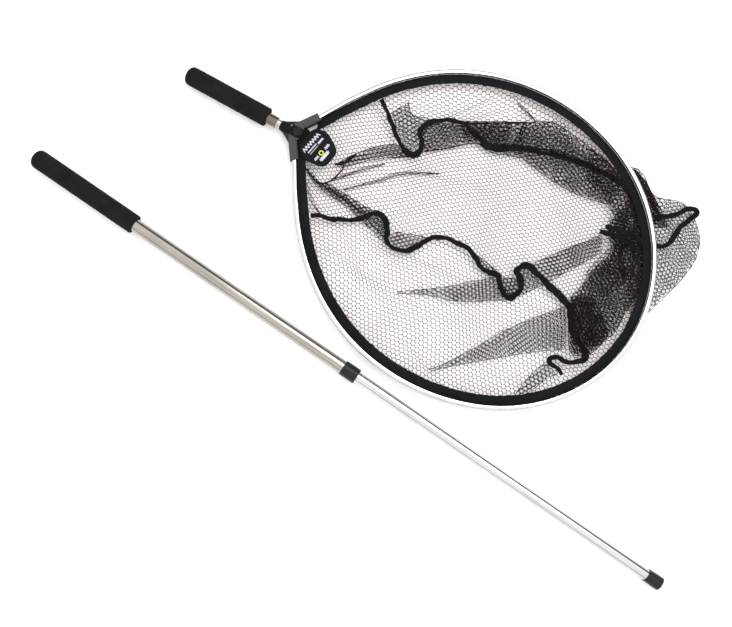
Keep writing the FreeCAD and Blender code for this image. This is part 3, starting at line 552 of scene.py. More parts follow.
class Weave:
    """One panel of netting: its outline, the direction and size of its cells, and how it is laid."""

    def __init__(self, outline, angle, cell, seed):
        self.outline = outline
        self.angle = angle
        self.cell = cell
        self.seed = seed

    def spread_out(self, place):
        low = self.outline.min(axis=0)
        high = self.outline.max(axis=0)
        return netting(place, (low[0], high[0]), (low[1], high[1]), self.angle, self.cell)

    def lie(self, a, b):
        """Where the cloth's own coordinates lie, drawn in at its creases, and the creases' height."""
        x = a + 3.0 * waves(a, b, 150.0, self.seed)
        y = b + 3.0 * waves(a, b, 170.0, self.seed + 50)
        return creased(x, y)

    def base(self):
        """The single layer of one panel, inside its outline and up under the hem band."""

        def place(a, b):
            x, y, height = self.lie(a, b)
            kept = inside(x, y, self.outline) & (inset_of(x, y) > BAND_INNER - 3.5)
            return np.stack([x, y, bag_height(x, y) + height], axis=-1), kept

        return self.spread_out(place)

    def fold(self, root, edge, layers=2, turn=1.5, spread=1.0, lift=2.0, gap=2.0, puff=1.5, crumple=0.0,
             seed=1, outside=False):
        """Tucked layers that lie over the cloth between root and edge, their cells almost in line with it.

        turn is how far each layer is turned from the one below, in degrees, and spread how far it is
        shifted. lift is the clearance over the cloth and gap the room between layers. puff and crumple
        raise the layers unevenly.
        """
        outline = np.vstack([smooth_line(root), smooth_line(edge)[::-1]])
        middle = outline.mean(axis=0)
        uneven = 0.5 * spread + crumple

        def layer(k):
            swing = math.radians(turn) * (k + 1)
            shift = spread * (0.6 + 0.4 * k)
            heading = 2.4 * k + seed

            def place(a, b):
                x, y, _ = self.lie(a, b)
                x, y = turned(x - middle[0], y - middle[1], swing)
                x = x + middle[0] + shift * math.cos(heading)
                y = y + middle[1] + shift * math.sin(heading)
                x = x + uneven * waves(a, b, 40.0, seed + 7 * k)
                y = y + uneven * waves(a, b, 36.0, seed + 7 * k + 3)
                kept = inside(x, y, outline)
                rise = lift + gap * k + puff * (1 + waves(x, y, 55.0, seed + 20)) * (0.5 + 0.5 * k)
                rise = rise + crumple * 1.5 * (1 + waves(x, y, 24.0, seed + 30))
                return settle(x, y, rise, kept, outside)

            return self.spread_out(place)

        middle_lift = lift + gap * (layers - 1) / 2
        folded_edges = [crease(side, 1.0, 2, middle_lift, 0.4, seed, outside) for side in (root, edge)]
        return gather([layer(k) for k in range(layers)] + folded_edges)


def settle(x, y, rise, kept, outside):
    """Lay folded cloth at a height over what is below it, under the hem band or under the hoop."""
    if outside:
        z = np.minimum(0.7 + rise, HOOP_Z - HOOP_HEIGHT / 2 - 1.3)
    else:
        inset = inset_of(x, y) - BAND_INNER
        z = np.minimum(bag_height(x, y) + rise, HEM_Z - 1.2 + 1.3 * np.maximum(inset, 0.0))
        kept = kept & (inset > -5.0)
    return np.stack([x, y, z], axis=-1), kept


def crease(route, width=2.0, yarns=3, lift=1.6, radius=YARN_RADIUS, seed=1, outside=False):
    """A sharp crease or a folded edge: yarns bunched side by side along a route."""
    line = smooth_line(route, 3.0)
    along = unit(np.gradient(line, axis=0))
    side = np.column_stack([-along[:, 1], along[:, 0]])
    run = np.arange(len(line)) * 3.0
    taper = np.sin(np.linspace(0.1, 0.9, len(line)) * math.pi)
    parts = []
    for k in range(yarns):
        off = ((k + 0.5) / yarns - 0.5) * width * taper + 0.5 * waves_along(run, 17.0, seed * 5 + k)
        x, y = (line + side * off[:, None]).T
        rise = lift + 0.8 * waves_along(run, 26.0, seed * 7 + k)
        points, _ = settle(x, y, rise, np.ones(len(x), bool), outside)
        parts.append(swept(rings(points, np.gradient(points, axis=0), radius)))
    return gather(parts)


# Routes of the seam tapes over the cloth
LEFT_TAPE = [(86, 109), (113, 89), (137, 68), (155, 59), (168, 60), (175, 70), (170, 83), (161, 93),
             (160, 102), (165, 114), (175, 124), (191, 134), (213, 141), (230, 136), (245, 132), (260, 128),
             (276, 130), (288, 139), (300, 148), (320, 153), (338, 159), (361, 167), (387, 173), (415, 176),
             (442, 177), (460, 175), (478, 169)]
RIGHT_TAPE = [(80, -101), (91, -93), (104, -90), (128, -79), (146, -67), (153, -57), (161, -49), (171, -47),
              (181, -51), (190, -63), (195, -74), (204, -81), (217, -81), (232, -73), (242, -59), (251, -43),
              (263, -33), (278, -29), (297, -27), (313, -28), (328, -37), (340, -43), (353, -44), (367, -42),
              (374, -50), (385, -60), (397, -63), (405, -54), (406, -40), (397, -28), (388, -21), (394, -10),
              (405, -6), (422, -11), (443, -19), (462, -23), (480, -31), (494, -47), (508, -65), (524, -74),
              (537, -85), (530, -100), (514, -107), (499, -108), (492, -116), (499, -122), (511, -123),
              (518, -128)]
OUTSIDE_TAPE = [(524, 153), (547, 163), (562, 176), (574, 192), (583, 198), (590, 193), (584, 179),
                (577, 161), (575, 141), (570, 126), (555, 113)]
FOLDED_TAPES = [[(541, 102), (530, 105), (514, 108), (493, 106), (474, 101)],
                [(538, 87), (526, 92), (512, 97), (492, 96), (470, 91)]]

CENTRE_OUTLINE = np.array(LEFT_TAPE + [(560, 193), (620, 3), (560, -157), (518, -128)]
                          + RIGHT_TAPE[::-1][1:] + [(20, -97), (0, 3), (30, 103)], float)
LEFT_OUTLINE = np.array(LEFT_TAPE + [(560, 193), (400, 303), (150, 283), (20, 143)], float)
RIGHT_OUTLINE = np.array(RIGHT_TAPE + [(560, -167), (400, -297), (150, -277), (20, -137)], float)
CENTRE = Weave(CENTRE_OUTLINE, -81.0, 6.35, 11)
LEFT = Weave(LEFT_OUTLINE, -63.0, 7.1, 12)
RIGHT = Weave(RIGHT_OUTLINE, 62.0, 6.9, 13)
HEAP = Weave(np.array([(440, -130), (440, 190), (600, 190), (600, -130)], float), 67.0, 6.5, 14)
LOBE = Weave(np.array([(440, -20), (440, 230), (640, 230), (640, -20)], float), -67.0, 6.5, 15)


def make_netting():
    """The five pieces of netting: the three panels, the far heap and what lies outside the hoop."""
    # one yarn in two copies: the darker one on the folds, creases, heap and outside pieces is painted shade
    # between the layers, and the browner one goes on the single layer
    dark = yarn("netting_yarn", (0.005, 0.003, 0.003), (0.020, 0.013, 0.012))
    thin = yarn("netting_yarn_single", (0.045, 0.008, 0.007), (0.150, 0.038, 0.032))
    made = {}

    def add(name, node, *parts):
        made[name] = new_piece(name, *gather(parts), dark, slot="netting", second=thin,
                               split=len(parts[0][1]) if node else 0)
        if node:
            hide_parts(node)

    add("netting_centre", "centre_panel",
        CENTRE.base(),
        # beside the label, up to the left tape's bend
        CENTRE.fold([(79, -5), (98, 27), (126, 55), (152, 65)],
                    [(83, -11), (105, 11), (128, 31), (154, 48), (180, 65)], layers=3, lift=1.5, seed=21),
        crease([(72, -12), (79, -6), (86, 6), (92, 18)], 7.0, 7, lift=4.0, radius=0.6, seed=61),
        # from the label down to the right tape, and on below its first bend
        CENTRE.fold([(28, -34), (56, -51), (70, -54), (84, -57), (110, -58), (129, -62), (145, -67)],
                    [(37, -35), (65, -47), (80, -42), (98, -43), (125, -45), (151, -46), (166, -45)],
                    layers=3, spread=1.5, lift=1.2, gap=1.8, seed=22),
        crease([(30, -36), (54, -48), (72, -50), (98, -50), (126, -54), (150, -58)],
               6.0, 4, lift=5.0, radius=0.55, seed=62),
        CENTRE.fold([(146, -67), (179, -76), (203, -83)],
                    [(165, -47), (182, -53), (191, -66), (198, -77)],
                    layers=3, spread=1.4, lift=1.2, seed=23),
        CENTRE.fold([(204, -81), (217, -81), (232, -73), (242, -60), (247, -49)],
                    [(195, -69), (206, -55), (219, -52), (235, -45), (248, -43)],
                    spread=1.3, lift=1.5, seed=24),
        CENTRE.fold([(313, -28), (328, -37), (340, -43), (353, -43), (368, -43), (374, -49)],
                    [(316, -27), (333, -30), (352, -33), (367, -37), (374, -38), (379, -39)],
                    lift=1.5, gap=1.6, seed=25),
        CENTRE.fold([(374, -47), (386, -59), (398, -62), (406, -53)],
                    [(378, -38), (386, -35), (393, -34), (400, -35)], layers=3, lift=1.5, seed=26),
        # the straight doubled strip
        CENTRE.fold([(409, -53), (426, -30), (440, -10), (453, 11), (468, 34), (489, 69)],
                    [(387, -22), (396, -10), (411, 9), (436, 42), (463, 75), (478, 95)],
                    turn=2.5, spread=1.3, lift=1.5, gap=2.6, seed=27),
        crease([(82, -1), (85, -10), (84, -21), (78, -37), (68, -49)], 2.6, seed=71),
        crease([(102, -39), (126, -16), (147, 5), (160, 22), (183, 37), (216, 54)],
               6.0, 4, radius=0.4, seed=72),
        crease([(78, -37), (98, -13), (114, 5), (137, 27)], 6.0, 4, radius=0.4, seed=73),
        crease([(44, -56), (64, -73), (78, -84), (91, -89)], 6.0, 4, radius=0.4, seed=74))
    add("netting_left", "left_panel",
        LEFT.base(),
        # the cloth bunched inside the tape's first bend
        LEFT.fold([(107, 104), (129, 84), (148, 68), (164, 67), (167, 84)],
                  [(122, 130), (135, 116), (148, 118), (160, 122), (172, 118)],
                  turn=8.0, spread=1.5, lift=1.2, seed=36),
        # the dark band along the tape
        LEFT.fold([(161, 101), (165, 117), (177, 128), (198, 137), (219, 147), (239, 158), (259, 170),
                   (296, 191)],
                  [(180, 73), (200, 88), (220, 106), (235, 119), (249, 125), (262, 123), (280, 126),
                   (314, 139)],
                  layers=3, turn=12.0, spread=1.9, lift=1.2, puff=2.0, crumple=0.5, seed=31),
        LEFT.fold([(203, 137), (230, 151), (250, 163), (278, 177)],
                  [(220, 125), (240, 128), (256, 131), (290, 140)],
                  layers=3, turn=-6.0, spread=1.8, lift=7.0, gap=1.2, puff=1.0, seed=32),
        # the cloth folded over it, towards the hoop and towards the middle
        LEFT.fold([(290, 187), (321, 206), (341, 211), (356, 209), (398, 202), (438, 191), (470, 175)],
                  [(292, 143), (320, 153), (338, 160), (361, 167), (387, 173), (415, 176), (452, 176)],
                  layers=4, turn=11.0, spread=1.9, gap=2.4, puff=2.5, crumple=0.5, seed=33),
        LEFT.fold([(300, 149), (338, 161), (361, 168), (387, 174), (415, 177), (442, 177), (470, 173)],
                  [(308, 140), (335, 134), (353, 132), (380, 129), (412, 130), (445, 134), (474, 141)],
                  layers=3, turn=-9.0, spread=1.7, lift=1.5, gap=2.6, puff=2.0, crumple=0.4, seed=34),
        LEFT.fold([(396, 199), (438, 193), (464, 181), (488, 163), (510, 143)],
                  [(412, 161), (430, 153), (452, 143), (472, 131), (490, 117)],
                  layers=3, turn=8.0, spread=1.8, lift=6.0, gap=2.4, puff=2.0, crumple=0.8, seed=35),
        crease([(180, 74), (202, 90), (221, 107), (236, 120), (250, 126)], 2.0, 2, lift=4.0, seed=63),
        crease([(162, 103), (180, 130), (204, 140), (236, 157), (262, 172), (296, 191)],
               4.0, 4, lift=6.0, seed=64),
        crease([(269, 211), (289, 206), (307, 200)], 6.0, 4, radius=0.4, seed=75),
        crease([(215, 142), (240, 134), (262, 130), (288, 141), (320, 155), (361, 169), (415, 178),
                (470, 171)], 11.0, 9, lift=7.5, radius=0.6, seed=76))
    add("netting_right", "right_panel",
        RIGHT.base(),
        RIGHT.fold([(246, -137), (281, -113), (311, -91), (334, -71), (358, -51), (368, -43)],
                   [(249, -138), (284, -120), (321, -109), (348, -97), (373, -81), (396, -67)],
                   turn=2.5, spread=1.3, lift=1.5, seed=41),
        RIGHT.fold([(343, -216), (358, -198), (387, -155), (415, -109), (434, -84), (454, -60),
                    (478, -33)],
                   [(346, -217), (374, -191), (411, -161), (441, -137), (471, -114), (490, -101),
                    (508, -89)], turn=2.0, spread=1.3, lift=1.5, gap=2.8, puff=2.5, seed=42),
        RIGHT.fold([(469, -198), (477, -159), (486, -133), (496, -121)],
                   [(473, -198), (490, -169), (500, -147), (512, -129)], lift=1.5, seed=43))
    add("netting_heap", None,
        HEAP.fold([(481, 139), (485, 104), (500, 72), (488, 32), (485, 5), (479, -17), (489, -43),
                   (501, -70), (516, -91), (536, -88)],
                  [(487, 171), (513, 145), (544, 101), (560, 67), (566, 39), (560, 7), (559, -31),
                   (553, -48), (547, -67), (541, -83)],
                  layers=4, turn=9.0, spread=1.8, gap=2.4, puff=2.5, crumple=1.0, seed=51),
        HEAP.fold([(478, -15), (486, -39), (499, -65), (514, -81)],
                  [(505, -3), (532, -21), (550, -41), (546, -67)],
                  layers=4, turn=6.0, spread=1.9, lift=9.0, gap=1.6, crumple=0.9, seed=52),
        HEAP.fold([(481, 23), (490, 61), (500, 89), (504, 115)],
                  [(520, 3), (538, 43), (540, 87), (530, 121)],
                  turn=9.0, spread=1.8, lift=9.0, gap=2.4, puff=2.0, crumple=1.2, seed=53),
        HEAP.fold([(478, 97), (492, 87), (512, 85), (536, 81)],
                  [(474, 117), (494, 123), (514, 123), (534, 115)],
                  layers=3, turn=7.0, spread=1.7, lift=10.0, gap=1.8, crumple=1.0, seed=54),
        crease([(508, 87), (520, 65), (534, 45)], 10.0, 8, lift=12.0, radius=0.6, seed=80),
        crease([(484, -24), (494, -40), (506, -56), (516, -72)], 16.0, 9, lift=12.0, radius=0.6, seed=81),
        crease([(500, -14), (516, -26), (530, -44), (534, -62)], 14.0, 7, lift=12.0, radius=0.6, seed=82))
    add("netting_outside", None,
        LOBE.fold([(452, 195), (484, 171), (508, 143), (526, 111), (540, 73), (550, 37), (560, 5)],
                  [(462, 211), (490, 211), (522, 189), (570, 199), (612, 163), (619, 107), (590, 11)],
                  turn=-11.0, spread=1.7, lift=0.2, gap=1.9, puff=0.8, crumple=0.7, seed=61, outside=True),
        LOBE.fold([(456, 193), (484, 171), (506, 145), (524, 125)],
                  [(474, 210), (506, 195), (530, 179), (562, 153)],
                  layers=3, turn=-9.0, spread=1.6, lift=3.0, gap=1.0, puff=0.5, crumple=0.8, seed=62,
                  outside=True),
        LOBE.fold([(458, 199), (486, 183), (512, 163)], [(480, 209), (508, 193), (536, 173)],
                  layers=3, turn=11.0, spread=1.6, lift=4.0, gap=0.6, puff=0.4, crumple=0.8, seed=63,
                  outside=True),
        crease([(470, 208), (492, 200), (512, 186), (528, 172), (548, 160)],
               9.0, 6, lift=4.0, radius=0.6, seed=83, outside=True),
        crease([(462, 202), (480, 190), (500, 172), (514, 158)],
               8.0, 5, lift=4.0, radius=0.6, seed=84, outside=True))
    return made


# ------------------------------------------------------------ tapes, band and stitches

def strip(line, width, thickness, across_tilt=0.0, sides=10):
    """A flat strip with rounded edges swept along net-frame points, as (points, faces)."""
    along = np.gradient(line, axis=0)
    across = unit(np.cross(along, [0.0, 0.0, 1.0]))
    rise = unit(np.cross(across, along))
    angles = np.arange(sides) * 2 * math.pi / sides
    flat = np.sign(np.cos(angles)) * np.abs(np.cos(angles)) ** 0.6
    tall = np.sin(angles)
    width = np.broadcast_to(width, len(line))
    tilt = np.broadcast_to(across_tilt, len(line))
    half = (width / 2)[:, None]
    loops = (line[:, None, :] + across[:, None, :] * (flat * half)[..., None]
             + rise[:, None, :] * (tall * thickness / 2 + flat * half * np.sin(tilt)[:, None])[..., None])
    points, faces = swept(loops)
    ends = []
    for base in (0, (len(line) - 1) * sides):
        for k in range(0, sides - 2, 2):
            ends.append([base, base + k + 1, base + k + 2, base + (k + 3) % sides])
    return points, np.concatenate([faces, np.array(ends)])


def stitches(line, offset, pitch, length, radius=0.26, lift=0.0):
    """Short threads laid at an even pitch beside a line."""
    along = unit(np.gradient(line, axis=0))
    across = unit(np.cross(along, [0.0, 0.0, 1.0]))
    step = np.linalg.norm(line[1] - line[0])
    picks = np.arange(2, len(line) - 2, max(1, int(round(pitch / step))))
    middle = line[picks] + across[picks] * offset + np.array([0, 0, lift])
    ahead = along[picks] * length / 2
    ends = np.stack([middle - ahead - [0, 0, 0.25], middle - ahead * 0.5, middle + ahead * 0.5,
                     middle + ahead - [0, 0, 0.25]], axis=1)
    direction = np.repeat(ahead[:, None, :], 4, axis=1)
    points = rings(ends, direction, radius).reshape(-1, 3)
    first = np.arange(len(picks))[:, None] * 16 + np.arange(3)[None, :] * 4
    return points, tube_faces(first.ravel(), first.ravel() + 4)


def lay(route, lift, seed, low=None):
    """A route over the cloth: its points with their heights, gently uneven."""
    line = smooth_line(route, TAPE_STEP)
    x, y = line[:, 0], line[:, 1]
    ground = bag_height(x, y) if low is None else low + 0 * x
    run = np.arange(len(line)) * TAPE_STEP
    uneven = 0.5 * waves_along(run, 34.0, seed) + 0.5
    return np.column_stack([x, y, ground + lift + uneven])


# Where the tapes are puckered or folded double, as (place, reach, extra width)
WIDE_SPOTS = [((414, -10), 22.0, 3.5), ((455, -22), 26.0, 3.5), ((490, -44), 18.0, 3.0),
              ((163, 62), 16.0, 3.0), ((172, -50), 20.0, 1.5), ((240, -64), 20.0, 1.5),
              ((262, 128), 24.0, 3.0), ((387, 172), 30.0, 2.0), ((540, -88), 16.0, 3.0),
              ((396, -30), 10.0, 2.5), ((398, -62), 12.0, 2.0), ((500, 105), 18.0, 4.0)]
TAPE_WIDTH = 7.2
TAPE_THICKNESS = 1.7
TAPE_STEP = 1.5


def make_tapes():
    """The bound seams along the panels and where they are folded double, each with its stitches."""
    cloth = woven("tape_weave", (0.003, 0.003, 0.003), (0.013, 0.013, 0.014), 0.0012, 20.0)
    thread = yarn("tape_thread", (0.006, 0.006, 0.006), (0.026, 0.025, 0.026))
    made = []
    for name, route, lift, node, low in (
            ("tape_left", LEFT_TAPE, 7.5, "left_seam_tape", None),
            ("tape_right", RIGHT_TAPE, 6.5, "right_seam_tape", None),
            ("tape_outside", OUTSIDE_TAPE, 6.0, None, 1.0),
            ("tape_folded_upper", FOLDED_TAPES[0], 17.0, None, None),
            ("tape_folded_lower", FOLDED_TAPES[1], 17.0, None, None)):
        line = lay(route, lift, len(made) + 70, low)
        run = np.arange(len(line)) * TAPE_STEP
        seed = len(made) + 5
        line[:, 0] += 0.9 * waves_along(run, 19.0, seed + 1)
        line[:, 1] += 0.9 * waves_along(run, 22.0, seed + 2)
        width = TAPE_WIDTH + 1.4 * waves_along(run, 40.0, seed) + 1.1 * waves_along(run, 9.0, seed + 3)
        for (x, y), reach, extra in WIDE_SPOTS:
            width = width + extra * np.exp(-(np.hypot(line[:, 0] - x, line[:, 1] - y) / reach) ** 2)
        tilt = 0.3 * waves_along(run, 70.0, seed + 10)
        tape = new_piece(name, *strip(line, width, TAPE_THICKNESS, tilt), cloth, slot="seam_tape")
        if node:
            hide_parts(node)
        rows = gather([stitches(line, side * 2.6, 3.0, 2.2, lift=0.95) for side in (1, -1)])
        threads = new_piece(name + "_stitches", *rows, thread, slot="seam_tape")
        made += [tape, threads]
    return made


# The hoop's section: distance in from its outer edge, and height from its middle
HOOP_SECTION = [(6.95, 4.3), (6.6, 4.8), (6.0, 5.0), (3.4, 5.0), (2.4, 4.9), (1.5, 4.6), (0.75, 4.05),
                (0.25, 3.2), (0.0, 2.2), (0.0, -2.2), (0.25, -3.2), (0.75, -4.05), (1.5, -4.6), (2.4, -4.9),
                (3.4, -5.0), (6.0, -5.0), (6.95, -4.6), (7.0, -0.9), (5.7, -0.9), (5.7, -1.7), (2.3, -1.7),
                (2.3, 1.7), (5.7, 1.7), (5.7, 0.9), (7.0, 0.9)]
BEAD_INSET = 4.0
BEAD_RADIUS = 1.4


def make_hoop():
    """The slotted channel bent into the hoop, and the braided cord that holds the net in its slot."""
    metal = satin_metal("hoop_satin", (0.66, 0.65, 0.65), 0.2)
    loops = np.stack([raise_to(hoop_line(inset, HOOP_START_X, HOOP_STEPS), HOOP_Z + height)
                      for inset, height in HOOP_SECTION], axis=1)
    hoop = new_piece("hoop", *swept(loops), metal, slot="hoop_aluminium")
    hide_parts("hoop_frame")
    cord = raise_to(hoop_line(BEAD_INSET, HOOP_START_X, HOOP_STEPS), HOOP_Z)
    braid = woven("bead_braid", (0.05, 0.05, 0.045), (0.2, 0.19, 0.17), 0.001)
    bead = new_piece("bead", *swept(rings(cord, np.gradient(cord, axis=0), BEAD_RADIUS, 8)), braid,
                     slot="bead_cord")
    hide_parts("hem_bead")


def make_band():
    """The woven hem band inside the hoop, its inner edge gathered where the netting is sewn in."""
    cloth = woven("band_weave", (0.004, 0.0045, 0.0045), (0.015, 0.016, 0.017), 0.0016, 0.0)
    thread = yarn("band_thread", (0.006, 0.007, 0.007), (0.028, 0.028, 0.029))
    outline = resample(hoop_line(HOOP_WIDTH + BAND_WIDTH / 2, BAND_START_X), BAND_POINTS)
    run = np.linspace(0, BAND_LENGTH, BAND_POINTS)
    line = raise_to(outline, HOOP_Z - 0.5 + 0.5 * waves_along(run, 70.0, 81))
    edge = 0.5 * np.sin(run * 2 * math.pi / 11.0) + 0.5 * waves_along(run, 30.0, 82)
    tilt = 0.11 + 0.03 * waves_along(run, 48.0, 83)
    # beside the left arm the band is drawn in, and a bridge joins its two ends under the label
    pinch = 5.2 * np.exp(-(run / 24.0) ** 6)
    inward = unit(np.cross(np.gradient(line, axis=0), [0.0, 0.0, 1.0]))
    line = line + inward * pinch[:, None]
    bridge = smooth_line([(x, y, HOOP_Z - 0.9) for x, y in ((15, 13), (12, 4), (12, -8), (17, -20))])
    body = gather([strip(line, BAND_WIDTH + edge - 2 * pinch, 1.8, tilt, sides=12),
                   strip(bridge, 15.0, 1.6, sides=12)])
    band = new_piece("band", *body, cloth, slot="woven_band")
    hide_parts("hem_band")
    rows = gather([stitches(line, side, 3.2, 2.4, lift=lift) for side, lift in ((5.6, 0.38), (-5.6, 1.58))])
    threads = new_piece("band_stitches", *rows, thread, slot="woven_band")
    return [band, threads]


# ------------------------------------------------------------ label

LABEL_AT = (38.4, -4.6)
LABEL_TURN = math.radians(-11.0)


def rounded_outline(corners, radius, steps=6):
    """A closed outline with each corner rounded."""
    corners = np.array(corners, float)
    outline = []
    for before, at, after in zip(np.roll(corners, 1, axis=0), corners, np.roll(corners, -1, axis=0)):
        start = at + (before - at) / np.linalg.norm(before - at) * radius
        end = at + (after - at) / np.linalg.norm(after - at) * radius
        for t in np.linspace(0, 1, steps):
            outline.append((1 - t) ** 2 * start + 2 * t * (1 - t) * at + t ** 2 * end)
    return np.array(outline)


def dome(outline, base, height, bulge, levels=7):
    """A low domed plate over a convex outline: its side, rounded rim and crowned top."""
    centre = outline.mean(axis=0)
    loops = [raise_to(outline, base)]
    for k in range(levels):
        t = k / levels
        shrink = 1 - t ** 1.5
        rim = min(1.0, 0.35 + t * 3)
        top = base + height * rim + bulge * (1 - shrink ** 2)
        loops.append(raise_to(centre + (outline - centre) * shrink, top))
    points, faces = swept(np.stack(loops))
    count = len(outline)
    last = levels * count
    hub = len(points)
    points = np.concatenate([points, [[*centre, base + height + bulge]]])
    crown = [[last + i, last + (i + 1) % count, last + (i + 2) % count, hub] for i in range(0, count, 2)]
    return points, np.concatenate([faces, crown])


def on_label(points):
    """Label coordinates to the net frame."""
    x, y = turned(points[:, 0], points[:, 1], LABEL_TURN)
    return np.column_stack([x + LABEL_AT[0], y + LABEL_AT[1], points[:, 2]])


# The motif's pale lines on the label, as (middle x, middle y, length, zigzag height, zigzags, line width)
MOTIF = [(-12.5, 0.0, 36.0, 3.0, 7, 1.7), (-5.6, -6.0, 19.0, 1.0, 7, 1.2), (-3.6, 11.0, 11.0, 1.6, 4, 1.5),
         (-1.8, -6.0, 18.0, 0.0, 1, 0.9), (9.4, 10.5, 9.0, 2.0, 3, 1.5), (9.2, -13.2, 8.0, 1.8, 3, 1.4),
         (15.6, -3.0, 19.0, 1.0, 8, 1.6), (17.6, -3.0, 17.0, 0.7, 8, 1.4), (13.8, -3.0, 18.0, 0.0, 1, 0.8)]


def make_label():
    """A black shield-shaped patch with a stitched border, a plain zigzag motif and a bright ring."""
    base = HOOP_Z + 0.9
    black = flat_print("patch_black", (0.003, 0.003, 0.0035), (0.007, 0.007, 0.008), 0.6)
    thread = yarn("patch_thread", (0.008, 0.008, 0.010), (0.030, 0.030, 0.034))
    pale = flat_print("patch_pale", (0.42, 0.41, 0.50), (0.70, 0.69, 0.78), 0.5)
    lime = flat_print("patch_lime", (0.50, 0.54, 0.04), (0.66, 0.70, 0.10), 0.5)
    shield = rounded_outline([(27.5, 15.0), (-4.0, 29.0), (-25.0, 20.0), (-25.0, -19.0), (-4.0, -28.0),
                              (27.5, -17.0)], 9.0)
    points, faces = dome(shield, base, 1.2, 0.8)
    plate = new_piece("label", on_label(points), faces, black, slot="patch")
    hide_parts("label_patch")

    def crown(x, y):
        return base + 1.2 + 0.72 * (1 - (np.hypot(x, y) / 29.0) ** 2) + 0.04

    lines = []
    for x, y, length, height, count, width in MOTIF:
        t = np.linspace(0, 1, max(2, count * 8 + 1))
        along = y + (t - 0.5) * length
        off = x + height * (2 * np.abs((t * count) % 1 - 0.5) - 0.5) * 2
        lines.append(strip(on_label(np.column_stack([off, along, crown(off, along)])), width, 0.5, sides=8))
    new_piece("label_motif", *gather(lines), pale, slot="patch")
    turn = np.linspace(0, 2 * math.pi, 41)
    x, y = 9.3 + 3.1 * np.cos(turn), -2.6 + 3.1 * np.sin(turn)
    circle = on_label(np.column_stack([x, y, crown(x, y) + 0.2]))
    new_piece("label_ring", *strip(circle, 2.0, 0.6, sides=8), lime, slot="patch")
    rim = rounded_outline([(25.0, 13.4), (-4.0, 26.4), (-22.6, 18.2), (-22.6, -17.2), (-4.0, -25.4),
                           (25.0, -15.4)], 8.0)
    loop = resample(np.vstack([rim, rim[:1]]), 220)
    line = on_label(raise_to(loop, base + 1.35))
    new_piece("label_stitches", *stitches(line, 0.0, 2.6, 1.9, lift=0.1), thread, slot="patch")


# ------------------------------------------------------------ finishes of the carried-over nodes

POLE_YAW = -5.42


def paint(node, material):
    """Give a CAD node a better material."""
    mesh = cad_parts[node].data
    mesh.materials.clear()
    mesh.materials.append(material)


def finish_nodes():
    """Moulded, drawn, turned and foamed finishes for the hard parts."""
    along_pole = -POLE_YAW
    axis = Vector((NET_X * MM, NET_Y * MM, HOOP_Z * MM))
    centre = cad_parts["yoke_body"].matrix_world.inverted() @ axis
    # the yoke is black nylon; the paler slate on its arms' upper faces is painted top light
    yoke = nylon_with_painted_top_light("yoke_nylon_painted_top_light", (0.004, 0.004, 0.0045), (0.056, 0.057, 0.062), centre,
                    (0.0075, 0.009), (0.0040, 0.0055), 0.5)
    black = moulded("black_nylon", (0.008, 0.008, 0.0085), 0.4)
    cap = moulded("cover_nylon", (0.009, 0.009, 0.010), 0.5, shine=0.12)
    pin = satin_metal("pin_steel", (0.20, 0.20, 0.21), 0.3)
    steel = satin_metal("screw_steel", (0.62, 0.61, 0.59), 0.3)
    brass = satin_metal("turned_brass", (0.72, 0.52, 0.22), 0.28)
    acetal = moulded("acetal", (0.80, 0.80, 0.76), 0.4)
    grip = foam("foam")
    ring = drawn_metal("ring_polish", (0.16, 0.15, 0.15), (0.60, 0.60, 0.60), 0.22, 90.0, (3.0, 350.0, 350.0))
    stem = drawn_metal("stem_metal", (0.07, 0.06, 0.055), (0.20, 0.17, 0.158), 0.22)
    outer = drawn_metal("outer_metal", (0.20, 0.185, 0.165), (0.42, 0.395, 0.36), 0.2, along_pole)
    inner = drawn_metal("inner_metal", (0.36, 0.36, 0.37), (0.62, 0.63, 0.65), 0.17, along_pole)
    for node, material in {
            "yoke_body": yoke, "yoke_cover": cap, "hoop_screws": steel,
            "threaded_stud": steel, "stud_pin": pin, "short_grip": grip, "short_insert": brass,
            "short_butt_plug": black, "long_grip": grip, "long_butt_plug": black, "collar": black,
            "guide_bush": acetal, "expander_collet": acetal, "expander_cone": black,
            "expander_screw": steel, "screw_stop": steel, "end_fitting": black, "end_insert": brass,
            "thrust_ring": ring, "short_tube": stem, "outer_tube": outer, "inner_tube": inner,
    }.items():
        paint(node, material)


# ------------------------------------------------------------ stage, light and camera

def make_stage():
    """A plain pale floor."""
    floor = Shader("floor_paper", (0.93, 0.93, 0.93), 0.9)
    shade = floor.noise(floor.place, 3.0, 3.0)
    floor.colour(floor.ramp(shade, (0.925, 0.925, 0.925), (0.94, 0.94, 0.94)))
    floor.surface.inputs["Emission Color"].default_value = (1.0, 1.0, 1.0, 1.0)
    floor.surface.inputs["Emission Strength"].default_value = 0.12
    bpy.ops.mesh.primitive_plane_add(size=30.0)
    plane = bpy.context.active_object
    plane.name = "floor"
    plane.data.materials.append(floor.material)


def add_light(name, place, target, size, power):
    """A round soft light that faces its target."""
    light = bpy.data.lights.new(name, "AREA")
    light.shape = "DISK"
    light.size = size
    light.energy = power
    lamp = bpy.data.objects.new(name, light)
    bpy.context.scene.collection.objects.link(lamp)
    lamp.location = place
    lamp.rotation_euler = (Vector(target) - Vector(place)).to_track_quat("-Z", "Y").to_euler()


